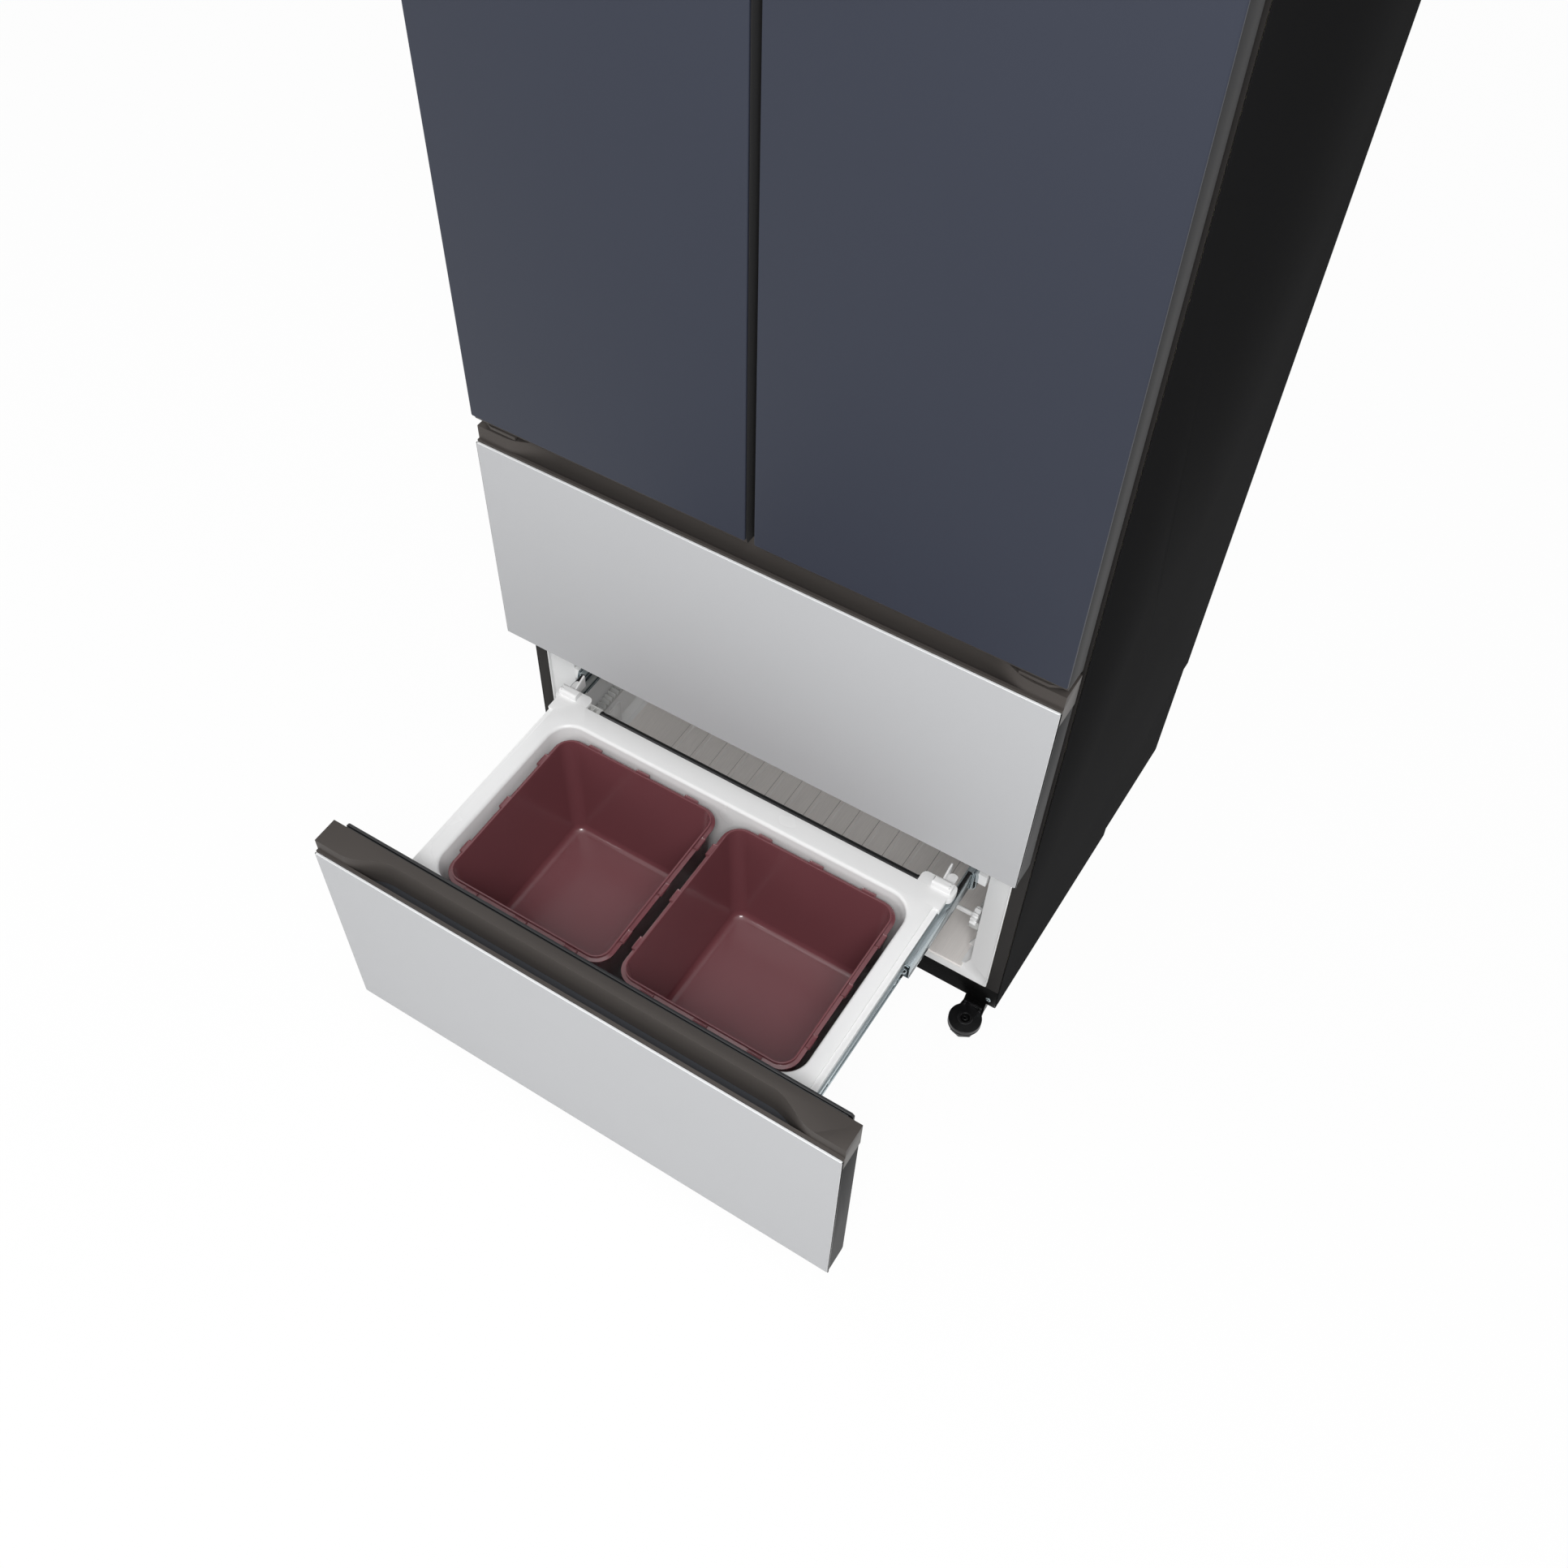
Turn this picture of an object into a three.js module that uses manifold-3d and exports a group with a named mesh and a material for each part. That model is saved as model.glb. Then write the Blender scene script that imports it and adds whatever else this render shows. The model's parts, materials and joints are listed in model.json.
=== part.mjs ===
// Four-door kimchi refrigerator: two side-hinged upper doors over two full-width drawers.
// Millimetres, +Z up, +X to the viewer's right, front towards -Y, floor at Z = 0.
// Every group below is drawn with Y = 0 on the closed front panels and moved into place at the end.

import * as THREE from 'three';
import { mergeVertices } from 'three/addons/utils/BufferGeometryUtils.js';
import Module from 'manifold-3d';

const wasm = await Module();
wasm.setup();

// ---------------------------------------------------------------- driving dimensions

// Cabinet
const CASE_WIDTH = 912;
const CASE_HALF = CASE_WIDTH / 2;
const CASE_BOTTOM = 40;
const CASE_TOP = 1830;
const CASE_SHEET = 1.5;
const DEPTH = 711; // closed front panels to the back of the cabinet
const FRONT_PLANE = 62; // front flange of the cabinet behind the closed panels
const FRAME_SHEET = 2;
const LINER_WALL = 2;
const CLEAR = 0.3; // between pieces that rest on each other

// Drawer travel, and how far the lower drawer stands open
const DRAWER_TRAVEL = 490;
const OPEN_AT_REST = 479.3;

// Fronts, stacked from the floor up
const PANEL_SIDE_GAP = 3; // side of a panel to the side of the case
const PANEL_HALF = CASE_HALF - PANEL_SIDE_GAP;
const PANEL_SHEET = 4;
const PANEL_BEVEL = 0.8;
const LOWER_PANEL_BOTTOM = 38.2;
const LOWER_PANEL_HEIGHT = 410;
const MIDDLE_PANEL_HEIGHT = 392;
const CAP_RISE = 25; // cap top above the panel top
const DRAWER_GAP = 13.9;
const DOOR_GAP_BELOW = 24; // cap top to the lower edge of the door panels
const DOOR_FRAME_DROP = 10; // the door frame hangs this far below its panel
const DOOR_GAP_BETWEEN = 14;
const DOOR_TOP_GAP = 4;
const FRONT_THICKNESS = 52; // face of a front panel to the back of its inner plate
const INNER_SHEET = 3.7;

// Handle cap of a drawer
const POCKET_FLOOR = 22; // below the panel top
const POCKET_FLOOR_SHEET = 8;
const CAP_FACE = 8.5; // cap face behind the panel face at the ends
const POCKET_BACK_TOP = 37;
const POCKET_BACK_BOTTOM = 28;
const POCKET_END = PANEL_HALF - 48; // the wave meets the cap face here
const POCKET_HALF = POCKET_END - 80; // full depth as far as this
const LIP_RISE = 3;

// Gasket rings
const GASKET_WIDTH = 16;
const GASKET_INSET_SIDE = 17;
const GASKET_INSET_TOP = 4;
const GASKET_INSET_BOTTOM = 17;
const GASKET_INSET_DOOR = 8;
const GASKET_BASE = 2;
const GASKET_NECK = 2.5;

// Compartments
const MOUTH_HALF = CASE_HALF - 26;
const MOUTH_RADIUS = 14;
const ROOM_HALF = MOUTH_HALF - 39; // behind the shoulder
const ROOM_DRAFT = 3;
const ROOM_RADIUS = 24;
const SHOULDER_LIP = 4;
const SHOULDER_DEPTH = 16;
const SHOULDER_RISE = 6;
const FLANGE_MARGIN = 3; // flange seen inside the gasket
const LOWER_MOUTH_BOTTOM = 90;
const DRAWER_ROOM_BACK = DEPTH - 111;
const UPPER_ROOM_BACK = DEPTH - 66;
const UPPER_MULLION_HALF = 34;
const LOWER_STEP_FRONT = DEPTH - 191; // step in the lower room over the machine compartment
const LOWER_STEP_TOP = 205;
const FLOOR_PLATE_HEIGHT = 7;
const FLOOR_RIBS = 9;

// Machine compartment
const MACHINE_FRONT = DEPTH - 146;
const MACHINE_TOP = 202;
const RECESS_FRONT = DEPTH - 233; // pressed-in lower rear corners of the case sides
const RECESS_SLOPE_TOP = DEPTH - 57;
const RECESS_LOW = 170;
const RECESS_HIGH = 286;
const RECESS_PRESS = 3;
const COMPRESSOR_X = -150;
const COMPRESSOR_Y = DEPTH - 73;
const COMPRESSOR_RADIUS = 60;
const COMPRESSOR_HEIGHT = 146;
const FAN_RADIUS = 62;
const FAN_X = 85.7;
const FAN_Y = DEPTH - 74;
const MOTOR_X = FAN_X + 10.3;
const FAN_BLADES = 5;
const LOUVRES = 6;

// Drawer bin
const RIM_BELOW_CAP = 80;
const BIN_DEPTH = 235;
const BIN_WALL = 3;
const BIN_SKIRT_HALF = ROOM_HALF - 33; // leaves room for the slides
const BIN_FRONT = 72.6;
const BIN_REAR = DRAWER_ROOM_BACK - 123;
const BIN_INNER_HALF = BIN_SKIRT_HALF - 32;
const BIN_INNER_FRONT = 92;
const BIN_INNER_REAR = BIN_REAR - 38;
const BIN_RADIUS = 40;
const BIN_DRAFT = 14;
const BIN_RIM_HALF = BIN_SKIRT_HALF - 9;
const BIN_SKIRT_DROP = 45;
const CORNER_BLOCK_INNER = BIN_SKIRT_HALF - 52;
const CORNER_BLOCK_OUTER = BIN_SKIRT_HALF + 8;
const CORNER_BLOCK_REAR = BIN_REAR + 22;
const CORNER_BLOCK_RISE = 15;

// Three-member slides
const SLIDE_BELOW_RIM = 40;
const SLIDE_HALF_HEIGHT = 23;
const SLIDE_SHEET = 1.4;
const SLIDE_THICKNESS = 13.3; // the three members nest in this
const SLIDE_BRACKETS = 3;
const BALL_ROW = 3; // height of a row of balls in its cage
const CABINET_RAIL_FRONT = FRONT_PLANE + 2;
const CABINET_RAIL_REAR = DRAWER_ROOM_BACK - 15;
const MIDDLE_RAIL_FRONT = 112;
const MIDDLE_RAIL_REAR = DRAWER_ROOM_BACK - 32;
const DRAWER_RAIL_FRONT = 75;
const DRAWER_RAIL_REAR = DRAWER_ROOM_BACK - 25;

// Rack and pinion that keeps a drawer square
const GEAR_MODULE = 3;
const PINION_TEETH = 9;
const PRESSURE_ANGLE = THREE.MathUtils.degToRad(25);
const GEAR_ADDENDUM = 2.3;
const GEAR_DEDENDUM = 2.9;
const GEAR_BACKLASH = 0.5;
const SHAFT_BELOW_RIM = 162.3;
const SHAFT_DEPTH = DRAWER_ROOM_BACK - 32; // shaft axis behind the panel face, drawer closed
const SHAFT_RADIUS = 4;
const SHAFT_PLAY = 0.3;
const COLLAR_RADIUS = 6.5;
const CARRIER_INNER = BIN_SKIRT_HALF - 28;
const CARRIER_SHEET = 6;
const RACK_INNER = ROOM_HALF - 17;
const RACK_FRONT = 80;
const RACK_REAR = DRAWER_ROOM_BACK - 10;
const RACK_BASE = 4.5;

// Containers
const CONTAINER_FRONT = 99;
const CONTAINER_GAP = 14;
const CONTAINER_LENGTH = BIN_INNER_REAR - 10 - CONTAINER_FRONT;
const CONTAINER_WIDTH = BIN_INNER_HALF - 12 - CONTAINER_GAP / 2;
const CONTAINER_BELOW_RIM = 11;
const CONTAINER_WALL = 2.5;
const CONTAINER_FLANGE = 8;
const CONTAINER_RADIUS = 34;
const CONTAINER_DRAFT = 13;
const LUG_LENGTH = 34;

// Doors
const HINGE_X = CASE_HALF - 20;
const HINGE_Y = 27;
const PIN_RADIUS = 5;
const PIN_PLAY = 0.3;
const PIN_LENGTH = 18;
const HINGE_PLATE = 5;
const HINGE_COVER_TOP = CASE_TOP + 23;
const DYKE_INSET_CENTRE = 12;
const DYKE_OUTER = ROOM_HALF - 11;
const DYKE_WIDTH = 22;
const DYKE_DEPTH = 38;
const DYKE_MARGIN = 12;
const GRIP_DEPTH = 28;
const DOOR_BIN_LEVELS = [1085, 1440];
const DOOR_BIN_HEIGHT = 110;
const DOOR_BIN_REACH = 92;
const SHELF_LEVELS = [1235, 1520];
const SHELF_GLASS = 5;
const SHELF_FRONT = 172;
const LEDGE = 10;

// Feet and rollers
const FOOT_X = CASE_HALF - 35.5;
const FOOT_Y = 26.4;
const FOOT_RADIUS = 24.4;
const FOOT_HEIGHT = 14;
const FOOT_STUD = 5;
const FOOT_TURN = THREE.MathUtils.degToRad(30);
const ARM_RADIUS = 27.8;
const ARM_BOTTOM = 16;
const ARM_TOP = 28;
const ARM_NECK = 38;
const ARM_REAR = 140;
const ROLLER_RADIUS = 20;
const ROLLER_WIDTH = 18;
const ROLLER_X = CASE_HALF - 36;
const ROLLER_Y = DEPTH - 46;
const AXLE_RADIUS = 4;
const EAR_SHEET = 2.5;

// ---------------------------------------------------------------- sizes that follow

const INSIDE_HALF = CASE_HALF - CASE_SHEET - CLEAR;
const GASKET_BACK = FRONT_PLANE - CLEAR;
const BODY_FRONT = PANEL_SHEET + CLEAR;
const BODY_BACK = FRONT_THICKNESS - INNER_SHEET - CLEAR;
const FOAM_FRONT = FRONT_PLANE + FRAME_SHEET + CLEAR;
const FOAM_BACK = DEPTH - CASE_SHEET - CLEAR;
const BASE_TOP = CASE_BOTTOM + FRAME_SHEET;
const MOUTH_CUT = LINER_WALL + CLEAR;

const lowerFront = drawerLevels(LOWER_PANEL_BOTTOM, LOWER_PANEL_HEIGHT);
const middleFront = drawerLevels(lowerFront.capTop + DRAWER_GAP, MIDDLE_PANEL_HEIGHT);
const DOOR_PANEL_BOTTOM = middleFront.capTop + DOOR_GAP_BELOW;
const DOOR_BOTTOM = DOOR_PANEL_BOTTOM - DOOR_FRAME_DROP;
const DOOR_TOP = CASE_TOP - DOOR_TOP_GAP;
const DOOR_INNER = DOOR_GAP_BETWEEN / 2;

const GASKET_TOP_REACH = GASKET_INSET_TOP + GASKET_WIDTH + FLANGE_MARGIN;
const MOUTHS = {
  lower: { x0: -MOUTH_HALF, x1: MOUTH_HALF, z0: LOWER_MOUTH_BOTTOM, z1: lowerFront.capTop - GASKET_TOP_REACH },
  middle: {
    x0: -MOUTH_HALF,
    x1: MOUTH_HALF,
    z0: middleFront.bottom + GASKET_INSET_BOTTOM + GASKET_WIDTH,
    z1: middleFront.capTop - GASKET_TOP_REACH,
  },
};
const UPPER_MOUTH_BOTTOM = DOOR_BOTTOM + GASKET_INSET_DOOR + GASKET_WIDTH + FLANGE_MARGIN;
const UPPER_MOUTH_TOP = DOOR_TOP - GASKET_INSET_DOOR - GASKET_WIDTH - 2;
const UPPER_MOUTH_INNER = UPPER_MULLION_HALF + LINER_WALL;

const PITCH_RADIUS = (GEAR_MODULE * PINION_TEETH) / 2;
const RACK_PITCH = Math.PI * GEAR_MODULE;
const RACK_TEETH = Math.floor((RACK_REAR - RACK_FRONT) / RACK_PITCH);
const RACK_FIRST_TOOTH = RACK_FRONT + RACK_PITCH / 2;

const WALL_FACE = ROOM_HALF - ROOM_DRAFT - CLEAR; // as far out as anything on a drawer room's wall may reach
const SKIRT_OUTER = BIN_SKIRT_HALF - 2.5;
const SLIDE_INNER = SKIRT_OUTER - 0.1;
const SLIDE_OUTER = SLIDE_INNER + SLIDE_THICKNESS;

function drawerLevels(bottom, panelHeight) {
  const panelTop = bottom + panelHeight;
  const capTop = panelTop + CAP_RISE;
  return { bottom, panelTop, capTop, rim: capTop - RIM_BELOW_CAP };
}

const HANDS = [['left', -1], ['right', 1]];

// ---------------------------------------------------------------- solids from three.js geometry

function toSolid(geometry) {
  const bare = geometry.clone();
  bare.deleteAttribute('normal');
  bare.deleteAttribute('uv');
  const merged = mergeVertices(bare, 1e-4);
  const index = merged.index.array;
  const faces = [];
  for (let i = 0; i < index.length; i += 3) {
    const [a, b, c] = [index[i], index[i + 1], index[i + 2]];
    if (a !== b && b !== c && c !== a) faces.push(a, b, c);
  }
  const vertProperties = Float32Array.from(merged.attributes.position.array);
  const build = (list) => new wasm.Manifold(
    new wasm.Mesh({ numProp: 3, vertProperties, triVerts: Uint32Array.from(list) }),
  );
  const solid = build(faces);
  return solid.volume() < 0 ? build([...faces].reverse()) : solid;
}

function join(...solids) {
  return solids.flat().reduce((sum, solid) => sum.add(solid));
}

function cut(solid, ...tools) {
  return tools.flat().reduce((rest, tool) => rest.subtract(tool), solid);
}

function mesh(name, solid, material) {
  const { vertProperties, triVerts } = solid.getMesh();
  const geometry = new THREE.BufferGeometry();
  geometry.setAttribute('position', new THREE.BufferAttribute(Float32Array.from(vertProperties), 3));
  geometry.setIndex(new THREE.BufferAttribute(Uint32Array.from(triVerts), 1));
  geometry.computeVertexNormals();
  const piece = new THREE.Mesh(geometry, material);
  piece.name = name;
  return piece;
}

// ---------------------------------------------------------------- form helpers

// A block between two corners; each pair may come in either order.
function block(xa, xb, ya, yb, za, zb) {
  const geometry = new THREE.BoxGeometry(Math.abs(xb - xa), Math.abs(yb - ya), Math.abs(zb - za));
  geometry.translate((xa + xb) / 2, (ya + yb) / 2, (za + zb) / 2);
  return toSolid(geometry);
}

// A skin through outlines of equally many points at rising stations along one axis.
// Outlines are [x, y] on axis z, [y, z] on axis x and [x, z] on axis y.
function loft(axis, sections) {
  const rising = [...sections].sort((a, b) => a.at - b.at);
  const first = rising[0].outline.map(([u, v]) => new THREE.Vector2(u, v));
  const turnsLeft = THREE.ShapeUtils.area(first) > 0;
  const count = first.length;
  const place = {
    x: (u, v, w) => [w, u, v],
    y: (u, v, w) => [u, w, v],
    z: (u, v, w) => [u, v, w],
  }[axis];
  const positions = rising.flatMap(({ at, outline }) => outline.flatMap(([u, v]) => place(u, v, at)));
  const faces = [];
  const flip = turnsLeft === (axis === 'y');
  const face = (a, b, c) => faces.push(...(flip ? [a, c, b] : [a, b, c]));
  for (let s = 0; s + 1 < rising.length; s += 1) {
    for (let i = 0; i < count; i += 1) {
      const j = (i + 1) % count;
      const [a, b, c, d] = [s * count + i, s * count + j, (s + 1) * count + j, (s + 1) * count + i];
      face(a, b, c);
      face(a, c, d);
    }
  }
  const top = (rising.length - 1) * count;
  const last = rising[rising.length - 1].outline.map(([u, v]) => new THREE.Vector2(u, v));
  const caps = [[first, 0, true], [last, top, false]];
  for (const [contour, offset, under] of caps) {
    for (const [a, b, c] of THREE.ShapeUtils.triangulateShape(contour, [])) {
      const ccw = THREE.ShapeUtils.area([contour[a], contour[b], contour[c]]) > 0 === turnsLeft;
      const [p, q, r] = ccw ? [a, b, c] : [a, c, b];
      if (under) face(offset + p, offset + r, offset + q);
      else face(offset + p, offset + q, offset + r);
    }
  }
  const geometry = new THREE.BufferGeometry();
  geometry.setAttribute('position', new THREE.Float32BufferAttribute(positions, 3));
  geometry.setIndex(faces);
  return toSolid(geometry);
}

function prism(axis, outline, from, to) {
  return loft(axis, [{ at: from, outline }, { at: to, outline }]);
}

function roundedRect(u0, u1, v0, v1, radius, steps = 3) {
  const corners = [[u1 - radius, v0 + radius, -90], [u1 - radius, v1 - radius, 0],
    [u0 + radius, v1 - radius, 90], [u0 + radius, v0 + radius, 180]];
  return corners.flatMap(([u, v, start]) => Array.from({ length: steps + 1 }, (_, i) => {
    const angle = THREE.MathUtils.degToRad(start + (90 * i) / steps);
    return [u + radius * Math.cos(angle), v + radius * Math.sin(angle)];
  }));
}

function circle(u, v, radius, sides, turn = 0) {
  return Array.from({ length: sides }, (_, i) => {
    const angle = turn + (2 * Math.PI * i) / sides;
    return [u + radius * Math.cos(angle), v + radius * Math.sin(angle)];
  });
}

function mirrored(outline, side) {
  return outline.map(([u, v]) => [side * u, v]);
}

// A revolved form about a line along X; the profile is [radius, x] from axis to axis.
function turnedAlongX(profile, sides, y, z) {
  const geometry = new THREE.LatheGeometry(profile.map(([r, x]) => new THREE.Vector2(r, x)), sides);
  geometry.rotateZ(-Math.PI / 2);
  geometry.translate(0, y, z);
  return toSolid(geometry);
}

// A revolved form about a line along Z; the profile is [radius, z] from axis to axis.
function turnedAlongZ(profile, sides, x, y) {
  const geometry = new THREE.LatheGeometry(profile.map(([r, z]) => new THREE.Vector2(r, z)), sides);
  geometry.rotateX(Math.PI / 2);
  geometry.translate(x, y, 0);
  return toSolid(geometry);
}

// ---------------------------------------------------------------- materials

function paint(color, roughness, metalness = 0) {
  return new THREE.MeshStandardMaterial({ color, roughness, metalness });
}

const MATERIALS = {
  case: paint(0x232323, 0.45, 0.3),
  trim: paint(0x403c3a, 0.4, 0.6),
  black: paint(0x0b0b0b, 0.5),
  navy: paint(0x434855, 0.35, 0.1),
  grey: paint(0xbabbbd, 0.4, 0.1),
  white: paint(0xeeeeee, 0.45),
  bin: paint(0xf2f2f2, 0.4),
  steel: paint(0x8c8682, 0.4, 0.8),
  zinc: paint(0x9fa7aa, 0.3, 0.9),
  rubber: paint(0x0e0e0e, 0.7),
  rack: paint(0x9b9a97, 0.5),
  container: paint(0x5a2d32, 0.25),
  foam: paint(0xe6dcae, 0.9),
  glass: paint(0xcfe3dc, 0.1),
  galvanised: paint(0x8f9396, 0.5, 0.7),
};

// ---------------------------------------------------------------- cabinet

// The room behind a mouth: lip, sloping shoulder, then drafted walls. grow thickens it all round.
function room(mouth, back, grow, shoulder = { left: true, right: true }) {
  const step = MOUTH_HALF - ROOM_HALF;
  const inner = {
    x0: mouth.x0 + (shoulder.left ? step : LINER_WALL),
    x1: mouth.x1 - (shoulder.right ? step : LINER_WALL),
    z0: mouth.z0 + SHOULDER_RISE,
    z1: mouth.z1 - SHOULDER_RISE,
  };
  const ring = (box, inset, radius) => roundedRect(
    box.x0 + inset - grow, box.x1 - inset + grow, box.z0 - grow + (inset ? 1 : 0),
        box.z1 + grow - (inset ? 1 : 0),
    radius + grow,
    2,
  );
  const front = grow > LINER_WALL ? FRONT_PLANE - 1 : FRONT_PLANE;
  const deep = { ...inner, x0: inner.x0 + ROOM_DRAFT, x1: inner.x1 - ROOM_DRAFT };
  return loft('y', [
    { at: front, outline: ring(mouth, 0, MOUTH_RADIUS) },
    { at: FRONT_PLANE + SHOULDER_LIP + grow, outline: ring(mouth, 1.5, MOUTH_RADIUS) },
    { at: FRONT_PLANE + SHOULDER_DEPTH + grow, outline: ring(inner, 0, ROOM_RADIUS) },
    { at: back + grow, outline: ring(deep, 0, ROOM_RADIUS) },
  ]);
}

function lowerRoom(grow) {
  const step = block(-CASE_HALF, CASE_HALF, LOWER_STEP_FRONT + grow, DEPTH, CASE_BOTTOM, LOWER_STEP_TOP - grow);
  return cut(room(MOUTHS.lower, DRAWER_ROOM_BACK, grow), step);
}

function middleRoom(grow) {
  return room(MOUTHS.middle, DRAWER_ROOM_BACK, grow);
}

function upperMouth(side) {
  const [x0, x1] = [UPPER_MOUTH_INNER * side, MOUTH_HALF * side].sort((a, b) => a - b);
  return { x0, x1, z0: UPPER_MOUTH_BOTTOM, z1: UPPER_MOUTH_TOP };
}

function upperRoom(side, grow) {
  return room(upperMouth(side), UPPER_ROOM_BACK, grow, { left: side < 0, right: side > 0 });
}

// Ledges on both walls of an upper room carry the glass shelves.
function upperLiner(side) {
  const shell = cut(upperRoom(side, LINER_WALL), upperRoom(side, 0));
  const [inner0, inner1] = [UPPER_MOUTH_INNER + LINER_WALL + 0.2, UPPER_MOUTH_INNER + LINER_WALL + 2.2];
  const [outer0, outer1] = [ROOM_HALF, ROOM_HALF - 2];
  const rear = UPPER_ROOM_BACK + 1;
  const ledge = (near, far, width) => mirrored(
    [[near, SHELF_FRONT], [near + width, SHELF_FRONT], [near + width, rear], [far, rear]],
    side,
  );
  const ledges = SHELF_LEVELS.flatMap((level) => [
    prism('z', ledge(inner0, inner1, LEDGE + 3), level - LEDGE, level),
    prism('z', ledge(outer0, outer1, -LEDGE - 4), level - LEDGE, level),
  ]);
  return join(shell, ledges);
}

function middleLiner() {
  return join(cut(middleRoom(LINER_WALL), middleRoom(0)), racks(middleFront));
}

// The lower liner has an oval hole and a pair of triangular ribs low on each side wall.
function lowerLiner() {
  const shell = join(cut(lowerRoom(LINER_WALL), lowerRoom(0)), racks(lowerFront));
  const [wall, floor] = [ROOM_HALF + 0.5, LOWER_MOUTH_BOTTOM + SHOULDER_RISE];
  const rib = [[wall - 22.5, floor + 0.5], [wall - 9.5, floor + 6], [wall, floor + 26], [wall, floor + 56]];
  const ribs = [-1, 1].flatMap((side) => [116, 140].map((y) => prism('y', mirrored(rib, side), y, y + 5)));
  const oval = roundedRect(172, 202, 184, 198, 6.9);
  const holes = [-1, 1].map((side) => prism('x', oval, side * (ROOM_HALF - 8), side * (ROOM_HALF + 6)));
  return cut(join(shell, ribs), holes);
}

// Sheet-steel wrap: two sides and the top, each side pressed in at its lower rear corner.
function outerCase() {
  const recess = [[RECESS_FRONT + 4, CASE_BOTTOM - 1], [RECESS_FRONT, RECESS_LOW],
      [RECESS_SLOPE_TOP, RECESS_HIGH],
    [DEPTH + 1, RECESS_HIGH], [DEPTH + 1, CASE_BOTTOM - 1]];
  const lining = [[RECESS_FRONT + 2, CASE_BOTTOM], [RECESS_FRONT - 2, RECESS_LOW + 1.5],
      [RECESS_SLOPE_TOP - 0.5, RECESS_HIGH + 2],
    [DEPTH, RECESS_HIGH + 2], [DEPTH, CASE_BOTTOM]];
  const sides = [-1, 1].map((side) => {
    const outer = side * CASE_HALF;
    const sheet = block(outer, outer - side * CASE_SHEET, FRONT_PLANE, DEPTH, CASE_BOTTOM, CASE_TOP);
    const pan = prism('x', lining, outer - side * (RECESS_PRESS + CASE_SHEET), outer);
    return cut(join(sheet, pan), prism('x', recess, outer - side * RECESS_PRESS, outer + side));
  });
  const top = block(-CASE_HALF, CASE_HALF, FRONT_PLANE, DEPTH, CASE_TOP - CASE_SHEET, CASE_TOP);
  return join(sides, top);
}

// Everything inside the wrap keeps clear of the pressed-in corners.
function pressedCorners() {
  const reach = CASE_HALF - RECESS_PRESS - CASE_SHEET - CLEAR;
  return [-1, 1].map((side) => block(side * reach, side * (CASE_HALF + 1), RECESS_FRONT - 3, DEPTH,
      CASE_BOTTOM - 1, RECESS_HIGH + 3));
}

function foamBody() {
  const block0 = block(-INSIDE_HALF, INSIDE_HALF, FOAM_FRONT, FOAM_BACK, BASE_TOP + CLEAR,
      CASE_TOP - CASE_SHEET - CLEAR);
  const machine = block(-CASE_HALF, CASE_HALF, MACHINE_FRONT, DEPTH, CASE_BOTTOM, MACHINE_TOP);
  return cut(block0, lowerRoom(MOUTH_CUT), middleRoom(MOUTH_CUT), upperRoom(-1, MOUTH_CUT),
      upperRoom(1, MOUTH_CUT),
    machine, pressedCorners());
}

function mouthHole(mouth) {
  const outline = roundedRect(mouth.x0 - MOUTH_CUT, mouth.x1 + MOUTH_CUT, mouth.z0 - MOUTH_CUT,
      mouth.z1 + MOUTH_CUT,
    MOUTH_RADIUS + MOUTH_CUT, 2);
  return prism('y', outline, FRONT_PLANE - 1, FRONT_PLANE + FRAME_SHEET + 1);
}

function frontFrame() {
  const plate = block(-INSIDE_HALF, INSIDE_HALF, FRONT_PLANE, FRONT_PLANE + FRAME_SHEET,
    LOWER_MOUTH_BOTTOM - MOUTH_CUT + CLEAR, CASE_TOP - CASE_SHEET - CLEAR);
  return cut(plate, mouthHole(MOUTHS.lower), mouthHole(MOUTHS.middle), mouthHole(upperMouth(-1)),
      mouthHole(upperMouth(1)));
}

function backPanel() {
  return cut(
    block(-INSIDE_HALF, INSIDE_HALF, DEPTH - CASE_SHEET, DEPTH, MACHINE_TOP + 2, CASE_TOP - CASE_SHEET - CLEAR),
    pressedCorners(),
  );
}

// Rear cover of the machine compartment with two fields of louvres.
function machineCover() {
  const plate = block(-CASE_HALF + 5, CASE_HALF - 5, DEPTH - CASE_SHEET, DEPTH, BASE_TOP + CLEAR,
      MACHINE_TOP + 2 - CLEAR);
  const pitch = 18;
  const slots = [-230, 190].flatMap((x) => Array.from({ length: LOUVRES }, (_, i) => {
    const z = 66 + i * pitch;
    return block(x - 95, x + 95, DEPTH - 5, DEPTH + 1, z, z + 6);
  }));
  return cut(plate, slots);
}

// Ribbed metal plate on the floor of a drawer compartment; the ribs run front to back.
function floorPlate(floor, rear) {
  const half = ROOM_HALF - ROOM_DRAFT - ROOM_RADIUS - 1;
  const [low, high] = [floor + CLEAR, floor + FLOOR_PLATE_HEIGHT];
  const pitch = (2 * half) / (FLOOR_RIBS + 0.5);
  const top = Array.from({ length: FLOOR_RIBS }, (_, i) => {
    const x = half - (i + 0.75) * pitch;
    return [[x + 5, high], [x + 3.5, high + 1.5], [x - 3.5, high + 1.5], [x - 5, high]];
  }).flat();
  const outline = [[-half, low], [half, low], [half, high], ...top, [-half, high]];
  return prism('y', outline, FRONT_PLANE + SHOULDER_DEPTH + 6, rear);
}

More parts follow.
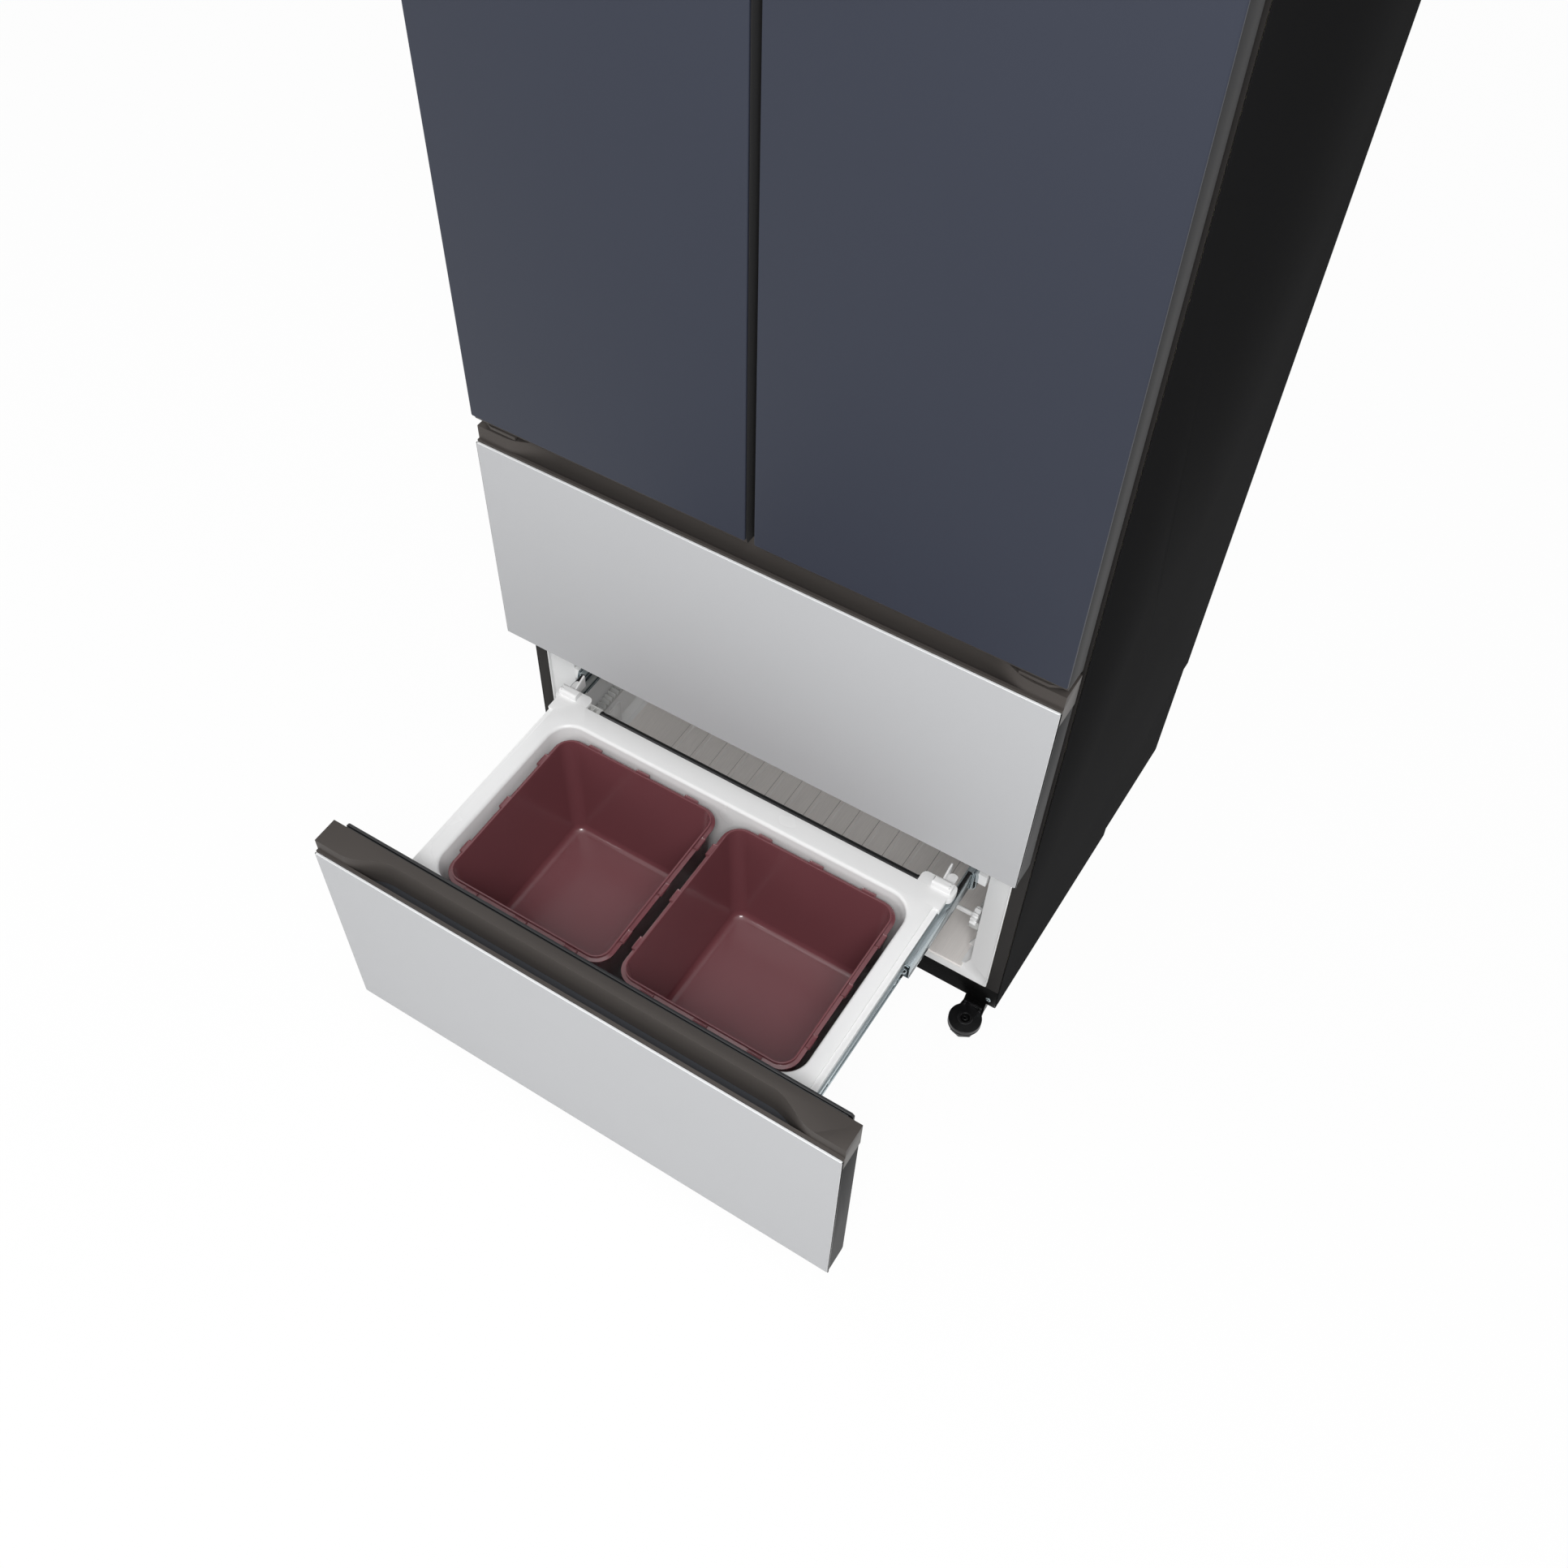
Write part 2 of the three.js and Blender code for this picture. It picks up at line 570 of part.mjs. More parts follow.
// Glass pane with a rounded rail along its front edge.
function glassShelf(side, level) {
  const [low, high] = [level + CLEAR, level + CLEAR + SHELF_GLASS];
  const xa = side * (UPPER_MOUTH_INNER + LINER_WALL + 4);
  const xb = side * (ROOM_HALF - ROOM_DRAFT - 2);
  const pane = block(xa, xb, SHELF_FRONT, UPPER_ROOM_BACK - 6, low, high);
  const rail = prism('x', [[SHELF_FRONT - 8, low - 6], [SHELF_FRONT - 1, low - 6], [SHELF_FRONT - 1, low],
      [SHELF_FRONT + 1, low],
    [SHELF_FRONT + 1, high + 1], [SHELF_FRONT - 6, high + 1], [SHELF_FRONT - 9, high - 2]], xa, xb);
  return join(pane, rail);
}

// Pressed base: floor, upturned front strip, arms of the front feet, ears and axles of the rear
// rollers, and the fan's motor on its bracket.
function basePlate() {
  const stripTop = LOWER_MOUTH_BOTTOM - MOUTH_CUT;
  const section = [[FRONT_PLANE, CASE_BOTTOM], [FOAM_BACK, CASE_BOTTOM], [FOAM_BACK, BASE_TOP],
    [FRONT_PLANE + FRAME_SHEET, BASE_TOP], [FRONT_PLANE + FRAME_SHEET, stripTop], [FRONT_PLANE, stripTop]];
  const tray = cut(prism('x', section, -INSIDE_HALF, INSIDE_HALF), pressedCorners());
  const ears = [-1, 1].flatMap((side) => {
    const gap = ROLLER_WIDTH / 2 + 1;
    const outline = [[ROLLER_Y - 18, CASE_BOTTOM + 1], [ROLLER_Y - 9, ROLLER_RADIUS - 8],
        [ROLLER_Y + 9, ROLLER_RADIUS - 8],
      [ROLLER_Y + 18, CASE_BOTTOM + 1]];
    const plates = [-1, 1].map((way) => prism('x', outline, side * ROLLER_X + way * gap,
        side * ROLLER_X + way * (gap + EAR_SHEET)));
    const reach = gap + EAR_SHEET;
    const axle = turnedAlongX([[0, -reach], [AXLE_RADIUS, -reach], [AXLE_RADIUS, reach], [0, reach]]
      .map(([r, x]) => [r, side * ROLLER_X + x]), 10, ROLLER_Y, ROLLER_RADIUS);
    return [...plates, axle];
  });
  return join(tray, ears, fanMotor(), footArm(-1), footArm(1));
}

function roller() {
  const [half, bore] = [ROLLER_WIDTH / 2, AXLE_RADIUS + SHAFT_PLAY];
  const rim = [[bore, -half], [ROLLER_RADIUS - 2, -half], [ROLLER_RADIUS, -half + 2], [ROLLER_RADIUS, half - 2],
    [ROLLER_RADIUS - 2, half], [bore, half], [bore, -half]];
  return turnedAlongX(rim, 18, 0, 0);
}

// Keyhole-shaped arm that holds a levelling foot in front of the cabinet.
function footArm(side) {
  const disc = (radius) => Array.from({ length: 12 }, (_, i) => {
    const angle = THREE.MathUtils.degToRad(140 + (260 * i) / 11);
    return [FOOT_X + radius * Math.cos(angle), FOOT_Y + radius * Math.sin(angle)];
  });
  const neck = ARM_NECK / 2;
  const outline = (radius) => mirrored([...disc(radius), [FOOT_X + neck, FOOT_Y + 34],
      [FOOT_X + neck, FRONT_PLANE + 8],
    [FOOT_X - neck, FRONT_PLANE + 8], [FOOT_X - neck, FOOT_Y + 34]], side);
  const plate = loft('z', [
    { at: ARM_BOTTOM, outline: outline(ARM_RADIUS) },
    { at: ARM_BOTTOM + 4, outline: outline(ARM_RADIUS - 1.5) },
    { at: ARM_BOTTOM + 6, outline: outline(ARM_RADIUS) },
    { at: ARM_TOP - 2, outline: outline(ARM_RADIUS) },
    { at: ARM_TOP, outline: outline(ARM_RADIUS - 2) },
  ]);
  const [xa, xb] = [side * (FOOT_X - neck), side * (FOOT_X + neck)];
  const riser = prism('x', [[FRONT_PLANE - 4, ARM_TOP - 4], [FRONT_PLANE + 8, ARM_BOTTOM],
      [FRONT_PLANE + 16, ARM_BOTTOM + 6],
    [FRONT_PLANE + 16, CASE_BOTTOM + 1], [FRONT_PLANE, CASE_BOTTOM + 1], [FRONT_PLANE - 6, ARM_TOP + 2]], xa, xb);
  const foot = block(xa, xb, FRONT_PLANE + 10, ARM_REAR, CASE_BOTTOM - 4, CASE_BOTTOM + 1);
  const well = prism('z', circle(side * FOOT_X, FOOT_Y, 9, 12), ARM_TOP - 2.5, ARM_TOP + 1);
  const bore = prism('z', circle(side * FOOT_X, FOOT_Y, FOOT_STUD + SHAFT_PLAY, 12), ARM_BOTTOM - 1, ARM_TOP + 1);
  return cut(join(plate, riser, foot), well, bore);
}

// Octagonal foot with its stud; drawn about its own axis.
function levellingFoot() {
  const corner = (radius) => circle(0, 0, radius, 8, FOOT_TURN + Math.PI / 8);
  const base = loft('z', [
    { at: 0, outline: corner(FOOT_RADIUS - 1.5) },
    { at: 2, outline: corner(FOOT_RADIUS) },
    { at: FOOT_HEIGHT - 2, outline: corner(FOOT_RADIUS) },
    { at: FOOT_HEIGHT, outline: corner(FOOT_RADIUS - 3) },
  ]);
  const stud = turnedAlongZ([[0, FOOT_HEIGHT - 1], [FOOT_STUD + 4, FOOT_HEIGHT - 1],
      [FOOT_STUD + 4, ARM_BOTTOM - CLEAR],
    [FOOT_STUD, ARM_BOTTOM - CLEAR], [FOOT_STUD, ARM_TOP - 0.5], [FOOT_STUD - 1, ARM_TOP + 0.5],
        [0, ARM_TOP + 0.5]], 12, 0, 0);
  const slot = join(block(-3.2, 3.2, -0.6, 0.6, ARM_TOP - 1, ARM_TOP + 2),
      block(-0.6, 0.6, -3.2, 3.2, ARM_TOP - 1, ARM_TOP + 2));
  return cut(join(base, stud), slot);
}

function compressor() {
  const [r, base, x, y] = [COMPRESSOR_RADIUS, BASE_TOP + CLEAR, COMPRESSOR_X, COMPRESSOR_Y];
  const top = base + COMPRESSOR_HEIGHT;
  const shell = turnedAlongZ([[0, base + 16], [r * 0.8, base + 18], [r, base + 40], [r, top - 46],
    [r * 0.9, top - 20], [r * 0.45, top], [0, top]], 16, x, y);
  const plate = block(x - r - 5, x + r + 5, y - 38, y + 38, base + 14, base + 18);
  const mounts = [[-1, -1], [1, -1], [-1, 1], [1, 1]].map(([across, along]) => (
    prism('z', circle(x + across * (r - 5), y + along * 28, 9, 8), base, base + 16)));
  return join(shell, plate, mounts);
}

// Fan motor on the bracket that stands on the base plate.
function fanMotor() {
  const z = BASE_TOP + CLEAR + FAN_RADIUS + 12;
  const y = FAN_Y;
  const profile = [[0, -14], [AXLE_RADIUS, -14], [AXLE_RADIUS, 0], [26, 0], [26, 36], [22, 42], [0, 42]];
  const motor = turnedAlongX(profile.map(([r, x]) => [r, MOTOR_X + x]), 14, y, z);
  const stand = prism('y', [[MOTOR_X + 2, BASE_TOP - 1], [MOTOR_X + 38, BASE_TOP - 1], [MOTOR_X + 30, z],
      [MOTOR_X + 10, z]],
    y - 14, y + 14);
  return join(motor, stand);
}

function condenserFan() {
  const bore = AXLE_RADIUS + PIN_PLAY;
  const hub = turnedAlongX([[bore, -10], [18, -10], [22, -6], [22, 10], [bore, 10], [bore, -10]], 14, 0, 0);
  const blades = Array.from({ length: FAN_BLADES }, (_, i) => {
    const geometry = new THREE.BoxGeometry(18, 2.2, FAN_RADIUS - 18);
    geometry.translate(0, 0, (FAN_RADIUS + 18) / 2);
    geometry.rotateZ(THREE.MathUtils.degToRad(38));
    geometry.rotateX((2 * Math.PI * i) / FAN_BLADES);
    return toSolid(geometry);
  });
  return join(hub, blades);
}

// ---------------------------------------------------------------- hinges

// Hinge between an upper door and the middle drawer: leg on the mullion, leaf, upward pin.
function middleHinge(side) {
  const z1 = DOOR_BOTTOM - 4.5;
  const z0 = z1 - HINGE_PLATE;
  const [xa, xb] = [HINGE_X - 50, HINGE_X + 14];
  const outline = mirrored([[xa, HINGE_Y - 19], [HINGE_X - 8, HINGE_Y - 19], [HINGE_X + 10, HINGE_Y - 11],
      [xb, HINGE_Y + 3],
    [xb, GASKET_BACK], [xa, GASKET_BACK]], side);
  const leaf = prism('z', outline, z0, z1);
  const leg = block(side * xa, side * xb, GASKET_BACK - 4, GASKET_BACK, middleFront.capTop - 2, DOOR_BOTTOM + 6);
  const pin = turnedAlongZ([[0, z0 + 1], [PIN_RADIUS, z0 + 1], [PIN_RADIUS, z1 + PIN_LENGTH - 1],
      [PIN_RADIUS - 1, z1 + PIN_LENGTH],
    [0, z1 + PIN_LENGTH]], 14, side * HINGE_X, HINGE_Y);
  return join(leaf, leg, pin);
}

function topHinge(side) {
  const z0 = CASE_TOP + CLEAR;
  const rear = HINGE_Y + 153;
  const outline = mirrored([[HINGE_X - 52, HINGE_Y + 63], [HINGE_X - 32, HINGE_Y - 13],
      [HINGE_X - 8, HINGE_Y - 19],
    [HINGE_X + 10, HINGE_Y - 13], [HINGE_X + 16, HINGE_Y + 7], [HINGE_X + 16, rear], [HINGE_X - 40, rear]], side);
  const leaf = prism('z', outline, z0, z0 + HINGE_PLATE);
  const pin = turnedAlongZ([[0, z0 - PIN_LENGTH], [PIN_RADIUS - 1, z0 - PIN_LENGTH],
      [PIN_RADIUS, z0 - PIN_LENGTH + 1],
    [PIN_RADIUS, z0 + 1], [0, z0 + 1]], 14, side * HINGE_X, HINGE_Y);
  return join(leaf, pin);
}

// Moulded cover over a top hinge, rounded at its corners and crowned.
function hingeCover(side) {
  const outline = (inset) => mirrored(
    roundedRect(HINGE_X - 60 + inset, CASE_HALF - 1 - inset, HINGE_Y - 21 + inset, HINGE_Y + 173 - inset,
        20 - inset),
    side,
  );
  return loft('z', [
    { at: CASE_TOP + 2 * CLEAR + HINGE_PLATE, outline: outline(0) },
    { at: HINGE_COVER_TOP - 6, outline: outline(0) },
    { at: HINGE_COVER_TOP, outline: outline(6) },
  ]);
}

// ---------------------------------------------------------------- gaskets

// Ring with a foot, a narrow neck and a thick head, as on a magnetic door seal.
function gasket(x0, x1, z0, z1) {
  const layers = [[FRONT_THICKNESS + CLEAR, GASKET_BASE, 0], [0, GASKET_NECK, 4], [0, 0, 0]];
  const ring = (from, to, pinch) => {
    const outer = roundedRect(x0 + pinch, x1 - pinch, z0 + pinch, z1 - pinch, 4, 1);
    const w = GASKET_WIDTH - pinch;
    const inner = roundedRect(x0 + w, x1 - w, z0 + w, z1 - w, 4, 1);
    return cut(prism('y', outer, from, to), prism('y', inner, from - 1, to + 1));
  };
  const foot = layers[0][0];
  const neck = foot + GASKET_BASE;
  const head = neck + GASKET_NECK;
  return join(ring(foot, neck, 0), ring(neck - 0.01, head + 0.01, 4), ring(head, GASKET_BACK, 0));
}

// ---------------------------------------------------------------- doors

function bevelledPanel(x0, x1, z0, z1) {
  const outline = (inset) => roundedRect(x0 + inset, x1 - inset, z0 + inset, z1 - inset, 1.5, 1);
  return loft('y', [
    { at: 0, outline: outline(PANEL_BEVEL) },
    { at: PANEL_BEVEL, outline: outline(0) },
    { at: PANEL_SHEET, outline: outline(0) },
  ]);
}

function sorted(a, b) {
  return a < b ? [a, b] : [b, a];
}

// Foam-filled door body with the finger groove under its lower edge and a bore at each hinge pin.
function doorFrame(side) {
  const [x0, x1] = sorted(side * DOOR_INNER, side * PANEL_HALF);
  const body = prism('x', [[BODY_FRONT, DOOR_PANEL_BOTTOM], [BODY_FRONT, DOOR_TOP], [BODY_BACK, DOOR_TOP],
    [BODY_BACK, DOOR_BOTTOM], [BODY_FRONT + 3, DOOR_BOTTOM]], x0, x1);
  const groove = prism('x', [[10, DOOR_BOTTOM - 1], [36, DOOR_BOTTOM - 1], [32, DOOR_BOTTOM + GRIP_DEPTH],
    [14, DOOR_BOTTOM + GRIP_DEPTH]], side * (DOOR_INNER + 33), side * (HINGE_X - 76));
  const bore = circle(side * HINGE_X, HINGE_Y, PIN_RADIUS + PIN_PLAY, 14);
  return cut(body, groove, prism('z', bore, DOOR_BOTTOM - 1, DOOR_BOTTOM + PIN_LENGTH),
      prism('z', bore, DOOR_TOP - PIN_LENGTH, DOOR_TOP + 1));
}

function dykeBox(side) {
  const [x0, x1] = sorted(side * (UPPER_MOUTH_INNER + DYKE_INSET_CENTRE), side * DYKE_OUTER);
  return { x0, x1, z0: UPPER_MOUTH_BOTTOM + DYKE_MARGIN, z1: UPPER_MOUTH_TOP - DYKE_MARGIN };
}

// Inner plate of a door: a raised, drafted rib stands inside the room and holds two open bins.
function doorLiner(side) {
  const [x0, x1] = sorted(side * (DOOR_INNER + 5), side * (PANEL_HALF - 5));
  const plate = block(x0, x1, BODY_BACK + CLEAR, FRONT_THICKNESS, DOOR_BOTTOM + 5, DOOR_TOP - 5);
  const dyke = dykeBox(side);
  const ring = (inset) => roundedRect(dyke.x0 + inset, dyke.x1 - inset, dyke.z0 + inset, dyke.z1 - inset, 16, 2);
  const outer = loft('y', [{ at: FRONT_THICKNESS - 1, outline: ring(0) },
      { at: FRONT_THICKNESS + DYKE_DEPTH, outline: ring(4) }]);
  const inner = prism('y', roundedRect(dyke.x0 + DYKE_WIDTH, dyke.x1 - DYKE_WIDTH, dyke.z0 + DYKE_WIDTH,
      dyke.z1 - DYKE_WIDTH, 8, 2),
    FRONT_THICKNESS, FRONT_THICKNESS + DYKE_DEPTH + 1);
  return join(plate, cut(outer, inner), doorBins(side));
}

function doorBins(side) {
  const dyke = dykeBox(side);
  const [x0, x1] = [dyke.x0 + DYKE_WIDTH - 1, dyke.x1 - DYKE_WIDTH + 1];
  const [y0, y1] = [FRONT_THICKNESS - 1, FRONT_THICKNESS + DOOR_BIN_REACH];
  const [wall, floor, draft] = [2.5, 2, 2];
  return DOOR_BIN_LEVELS.map((level) => {
    const top = level + DOOR_BIN_HEIGHT;
    const outer = loft('z', [
      { at: level, outline: roundedRect(x0 + draft, x1 - draft, y0, y1 - 2 * draft, 7, 2) },
      { at: top, outline: roundedRect(x0, x1, y0, y1, 7, 2) },
    ]);
    const inner = loft('z', [
      { at: level + floor, outline: roundedRect(x0 + draft + wall, x1 - draft - wall, y0 + wall,
          y1 - 2 * draft - wall, 4.5, 2) },
      { at: top + 1, outline: roundedRect(x0 + wall, x1 - wall, y0 + wall, y1 - wall, 4.5, 2) },
    ]);
    return cut(outer, inner);
  });
}

function door(prefix, side) {
  const group = new THREE.Group();
  const [x0, x1] = sorted(side * DOOR_INNER, side * PANEL_HALF);
  const [g0, g1] = sorted(side * (DOOR_INNER + GASKET_INSET_DOOR), side * (PANEL_HALF - GASKET_INSET_SIDE));
  group.add(
    mesh(`${prefix}_door_panel`, bevelledPanel(x0, x1, DOOR_PANEL_BOTTOM, DOOR_TOP), MATERIALS.navy),
    mesh(`${prefix}_door_frame`, doorFrame(side), MATERIALS.trim),
    mesh(`${prefix}_door_liner`, doorLiner(side), MATERIALS.white),
    mesh(`${prefix}_door_gasket`, gasket(g0, g1, DOOR_BOTTOM + GASKET_INSET_DOOR,
        DOOR_TOP - GASKET_INSET_DOOR), MATERIALS.rubber),
  );
  return group;
}

// ---------------------------------------------------------------- drawers

// Front edge of a cap in plan: level at the ends, one smooth wave back to the finger pocket.
function capOutline(pocketBack) {
  const wave = Array.from({ length: 9 }, (_, i) => {
    const t = i / 8;
    const x = POCKET_END - (POCKET_END - POCKET_HALF) * t;
    return [x, CAP_FACE + (pocketBack - CAP_FACE) * (0.5 - 0.5 * Math.cos(Math.PI * t))];
  });
  const right = [[PANEL_HALF, FRONT_THICKNESS], [PANEL_HALF, CAP_FACE], ...wave];
  return [...right, ...mirrored(right, -1).reverse()];
}

function handleCap(level) {
  const floorTop = level.panelTop - POCKET_FLOOR;
  const floorLow = floorTop - POCKET_FLOOR_SHEET;
  const body = loft('z', [
    { at: floorTop - 1, outline: capOutline(POCKET_BACK_BOTTOM) },
    { at: level.capTop, outline: capOutline(POCKET_BACK_TOP) },
  ]);
  const lipBack = CAP_FACE + 0.5;
  const lip = prism('x', [[BODY_FRONT, floorLow], [FRONT_THICKNESS, floorLow], [FRONT_THICKNESS, floorTop],
      [lipBack, floorTop],
    [lipBack, level.panelTop + LIP_RISE], [BODY_FRONT + 2, level.panelTop + LIP_RISE - 1],
        [BODY_FRONT + 2, level.panelTop],
    [BODY_FRONT, level.panelTop - 1]], -PANEL_HALF, PANEL_HALF);
  return join(body, lip);
}

function frontBody(level) {
  const top = level.panelTop - POCKET_FLOOR - POCKET_FLOOR_SHEET - CLEAR;
  return prism('x', [[BODY_FRONT, level.bottom], [BODY_FRONT, top], [BODY_BACK, top],
      [BODY_BACK, level.bottom + 4],
    [BODY_BACK - 4, level.bottom]], -PANEL_HALF, PANEL_HALF);
}

// White inner plate; its raised middle stands inside the compartment's mouth and carries the bin.
function innerPlate(level) {
  const top = level.panelTop - POCKET_FLOOR - POCKET_FLOOR_SHEET - CLEAR;
  const plate = block(-PANEL_HALF + 5, PANEL_HALF - 5, BODY_BACK + CLEAR, FRONT_THICKNESS, level.bottom + 5, top);
  const half = SKIRT_OUTER - 3.5;
  const ring = (inset) => roundedRect(-half + inset, half - inset, level.bottom + 62 + inset, top - 6 - inset, 18);
  const raised = loft('y', [{ at: FRONT_THICKNESS - 1, outline: ring(0) },
      { at: BIN_FRONT - CLEAR, outline: ring(5) }]);
  return join(plate, raised);
}

// Tub with a flat rim, hanging skirts that carry the slides, raised rear blocks and shaft carriers.
function drawerBin(level) {
  const { rim } = level;
  const floor = rim - BIN_DEPTH;
  const tub = (half, front, rear, radius) => roundedRect(-half, half, front, rear, radius);
  const grow = BIN_WALL;
  const outer = loft('z', [
    { at: floor, outline: tub(BIN_INNER_HALF - BIN_DRAFT + grow, BIN_INNER_FRONT + 10 - grow,
        BIN_INNER_REAR - 10 + grow, BIN_RADIUS) },
    { at: rim, outline: tub(BIN_INNER_HALF + grow, BIN_INNER_FRONT - grow, BIN_INNER_REAR + grow,
        BIN_RADIUS + grow) },
  ]);
  const inner = loft('z', [
    { at: floor + grow, outline: tub(BIN_INNER_HALF - BIN_DRAFT, BIN_INNER_FRONT + 10, BIN_INNER_REAR - 10,
        BIN_RADIUS - grow) },
    { at: rim + 1, outline: tub(BIN_INNER_HALF, BIN_INNER_FRONT, BIN_INNER_REAR, BIN_RADIUS) },
  ]);
  const flange = prism('z', roundedRect(-BIN_RIM_HALF, BIN_RIM_HALF, BIN_FRONT, BIN_REAR, 5, 1), rim - 5, rim);
  const step = prism('z', roundedRect(-BIN_SKIRT_HALF, BIN_SKIRT_HALF, BIN_FRONT, BIN_REAR, 5, 1), rim - 9,
      rim - 4);
  const rearLip = block(-CORNER_BLOCK_INNER, CORNER_BLOCK_INNER, BIN_REAR - 3, BIN_REAR, rim - 26, rim - 4);
  const sides = [-1, 1].flatMap((side) => {
    const skirt = block(side * (SKIRT_OUTER - 2.5), side * SKIRT_OUTER, BIN_FRONT + 8, BIN_REAR,
        rim - BIN_SKIRT_DROP, rim - 4);
    const shoulder = prism('z',
        mirrored(roundedRect(CORNER_BLOCK_INNER, CORNER_BLOCK_OUTER, BIN_REAR - 30, CORNER_BLOCK_REAR, 6,
        1), side),
      rim - 14, rim + 2);
    const crown = loft('z', [
      { at: rim, outline: mirrored(roundedRect(CORNER_BLOCK_INNER + 22, CORNER_BLOCK_OUTER - 4,
          BIN_REAR - 16, CORNER_BLOCK_REAR - 4, 4, 1), side) },
      { at: rim + CORNER_BLOCK_RISE,
          outline: mirrored(roundedRect(CORNER_BLOCK_INNER + 25, CORNER_BLOCK_OUTER - 7, BIN_REAR - 12,
          CORNER_BLOCK_REAR - 7, 4, 1), side) },
    ]);
    return [skirt, shoulder, crown, shaftCarrier(side, rim)];
  });
  return join(cut(join(outer, flange, step, rearLip, sides), inner), drawerRails(level));
}

// Gusset from a rear block down to the bearing of the cross shaft.
function shaftCarrier(side, rim) {
  const axis = rim - SHAFT_BELOW_RIM;
  const [xa, xb] = [side * CARRIER_INNER, side * (CARRIER_INNER + CARRIER_SHEET)];
  const arm = prism('x', [[BIN_REAR - 14, rim - 10], [BIN_REAR - 14, rim - 70],
      [SHAFT_DEPTH - 9, axis - 2], [SHAFT_DEPTH, axis - 9],
    [SHAFT_DEPTH + 9, axis], [SHAFT_DEPTH + 4, axis + 12], [CORNER_BLOCK_REAR - 2, rim - 30],
        [CORNER_BLOCK_REAR - 2, rim - 10]], xa, xb);
  const boss = prism('x', circle(SHAFT_DEPTH, axis, 10, 12), side * (CARRIER_INNER - 3),
      side * (CARRIER_INNER + CARRIER_SHEET + 4));
  const bore = prism('x', circle(SHAFT_DEPTH, axis, SHAFT_RADIUS + SHAFT_PLAY, 12),
      side * (CARRIER_INNER - 9), side * (CARRIER_INNER + CARRIER_SHEET + 9));
  return cut(join(arm, boss), bore);
}

// ---------------------------------------------------------------- slides

// Channel open to one side; half is its outer half height, lip the length of its rolled edges.
function channel(web, mouth, half, middle) {
  const way = Math.sign(mouth - web);
  const t = SLIDE_SHEET;
  const bend = 2;
  return [[web, middle - half + bend], [web + way * bend, middle - half], [mouth, middle - half],
      [mouth, middle - half + t],
    [web + way * (bend + 0.6), middle - half + t], [web + way * t, middle - half + t + bend],
        [web + way * t, middle + half - t - bend],
    [web + way * (bend + 0.6), middle + half - t], [mouth, middle + half - t], [mouth, middle + half],
        [web + way * bend, middle + half],
    [web, middle + half - bend]];
}

const INNER_HALF = SLIDE_HALF_HEIGHT - SLIDE_SHEET - BALL_ROW - 2 * CLEAR; // middle member
const DRAWER_HALF = INNER_HALF - SLIDE_SHEET - BALL_ROW - 2 * CLEAR;

// Outer member of a slide, on brackets that reach to the wall of the room.
function cabinetRail(side, level) {
  const z = level.rim - SLIDE_BELOW_RIM;
  const section = channel(side * SLIDE_OUTER, side * (SLIDE_INNER + 1.6), SLIDE_HALF_HEIGHT, z);
  const rail = prism('y', section, CABINET_RAIL_FRONT, CABINET_RAIL_REAR);
  const stop = block(side * SLIDE_OUTER, side * (SLIDE_OUTER - 4), CABINET_RAIL_REAR - 3, CABINET_RAIL_REAR,
    z - 10, z + 10);
  const [first, last] = [CABINET_RAIL_FRONT + 24, CABINET_RAIL_REAR - 24];
  const brackets = Array.from({ length: SLIDE_BRACKETS }, (_, i) => {
    const y = first + ((last - first) * i) / (SLIDE_BRACKETS - 1);
    return block(side * (SLIDE_OUTER - 0.5), side * WALL_FACE, y - 14, y + 14, z - 12, z + 12);
  });
  return join(rail, stop, brackets);
}

// Middle member of a slide, nested in the outer one, and the rows of balls that run along it.
function slidingRail(side, level) {
  const z = level.rim - SLIDE_BELOW_RIM;
  const [outer, inner] = [SLIDE_OUTER - SLIDE_SHEET - 0.5, SLIDE_INNER + 0.8];
  const web = outer - SLIDE_SHEET;
  const [high, low] = [INNER_HALF, INNER_HALF - SLIDE_SHEET];
  const section = [[outer, z + high], [inner, z + high], [inner, z + low], [web, z + low],
    [web, z - low], [inner, z - low], [inner, z - high], [outer, z - high]];
  const member = prism('y', mirrored(section, side), MIDDLE_RAIL_FRONT, MIDDLE_RAIL_REAR);
  const rows = [-1, 1].flatMap((way) => [
    block(side * (outer - 6), side * (outer - 1), MIDDLE_RAIL_FRONT + 226, MIDDLE_RAIL_REAR - 4,
      z + way * (high - 0.1), z + way * (high + BALL_ROW + CLEAR)),
    block(side * (inner + 1), side * (inner + 5), MIDDLE_RAIL_FRONT + 4, MIDDLE_RAIL_FRONT + 150,
      z + way * (low + 0.1), z + way * (low - BALL_ROW - CLEAR)),
  ]);
  return join(member, rows);
}

// Inner member of each slide, clipped to the bin's skirt.
function drawerRails(level) {
  const z = level.rim - SLIDE_BELOW_RIM;
  return [-1, 1].map((side) => prism(
    'y',
    channel(side * SLIDE_INNER, side * (SLIDE_INNER + 9.2), DRAWER_HALF, z),
    DRAWER_RAIL_FRONT,
    DRAWER_RAIL_REAR,
  ));
}

// ---------------------------------------------------------------- rack and pinion

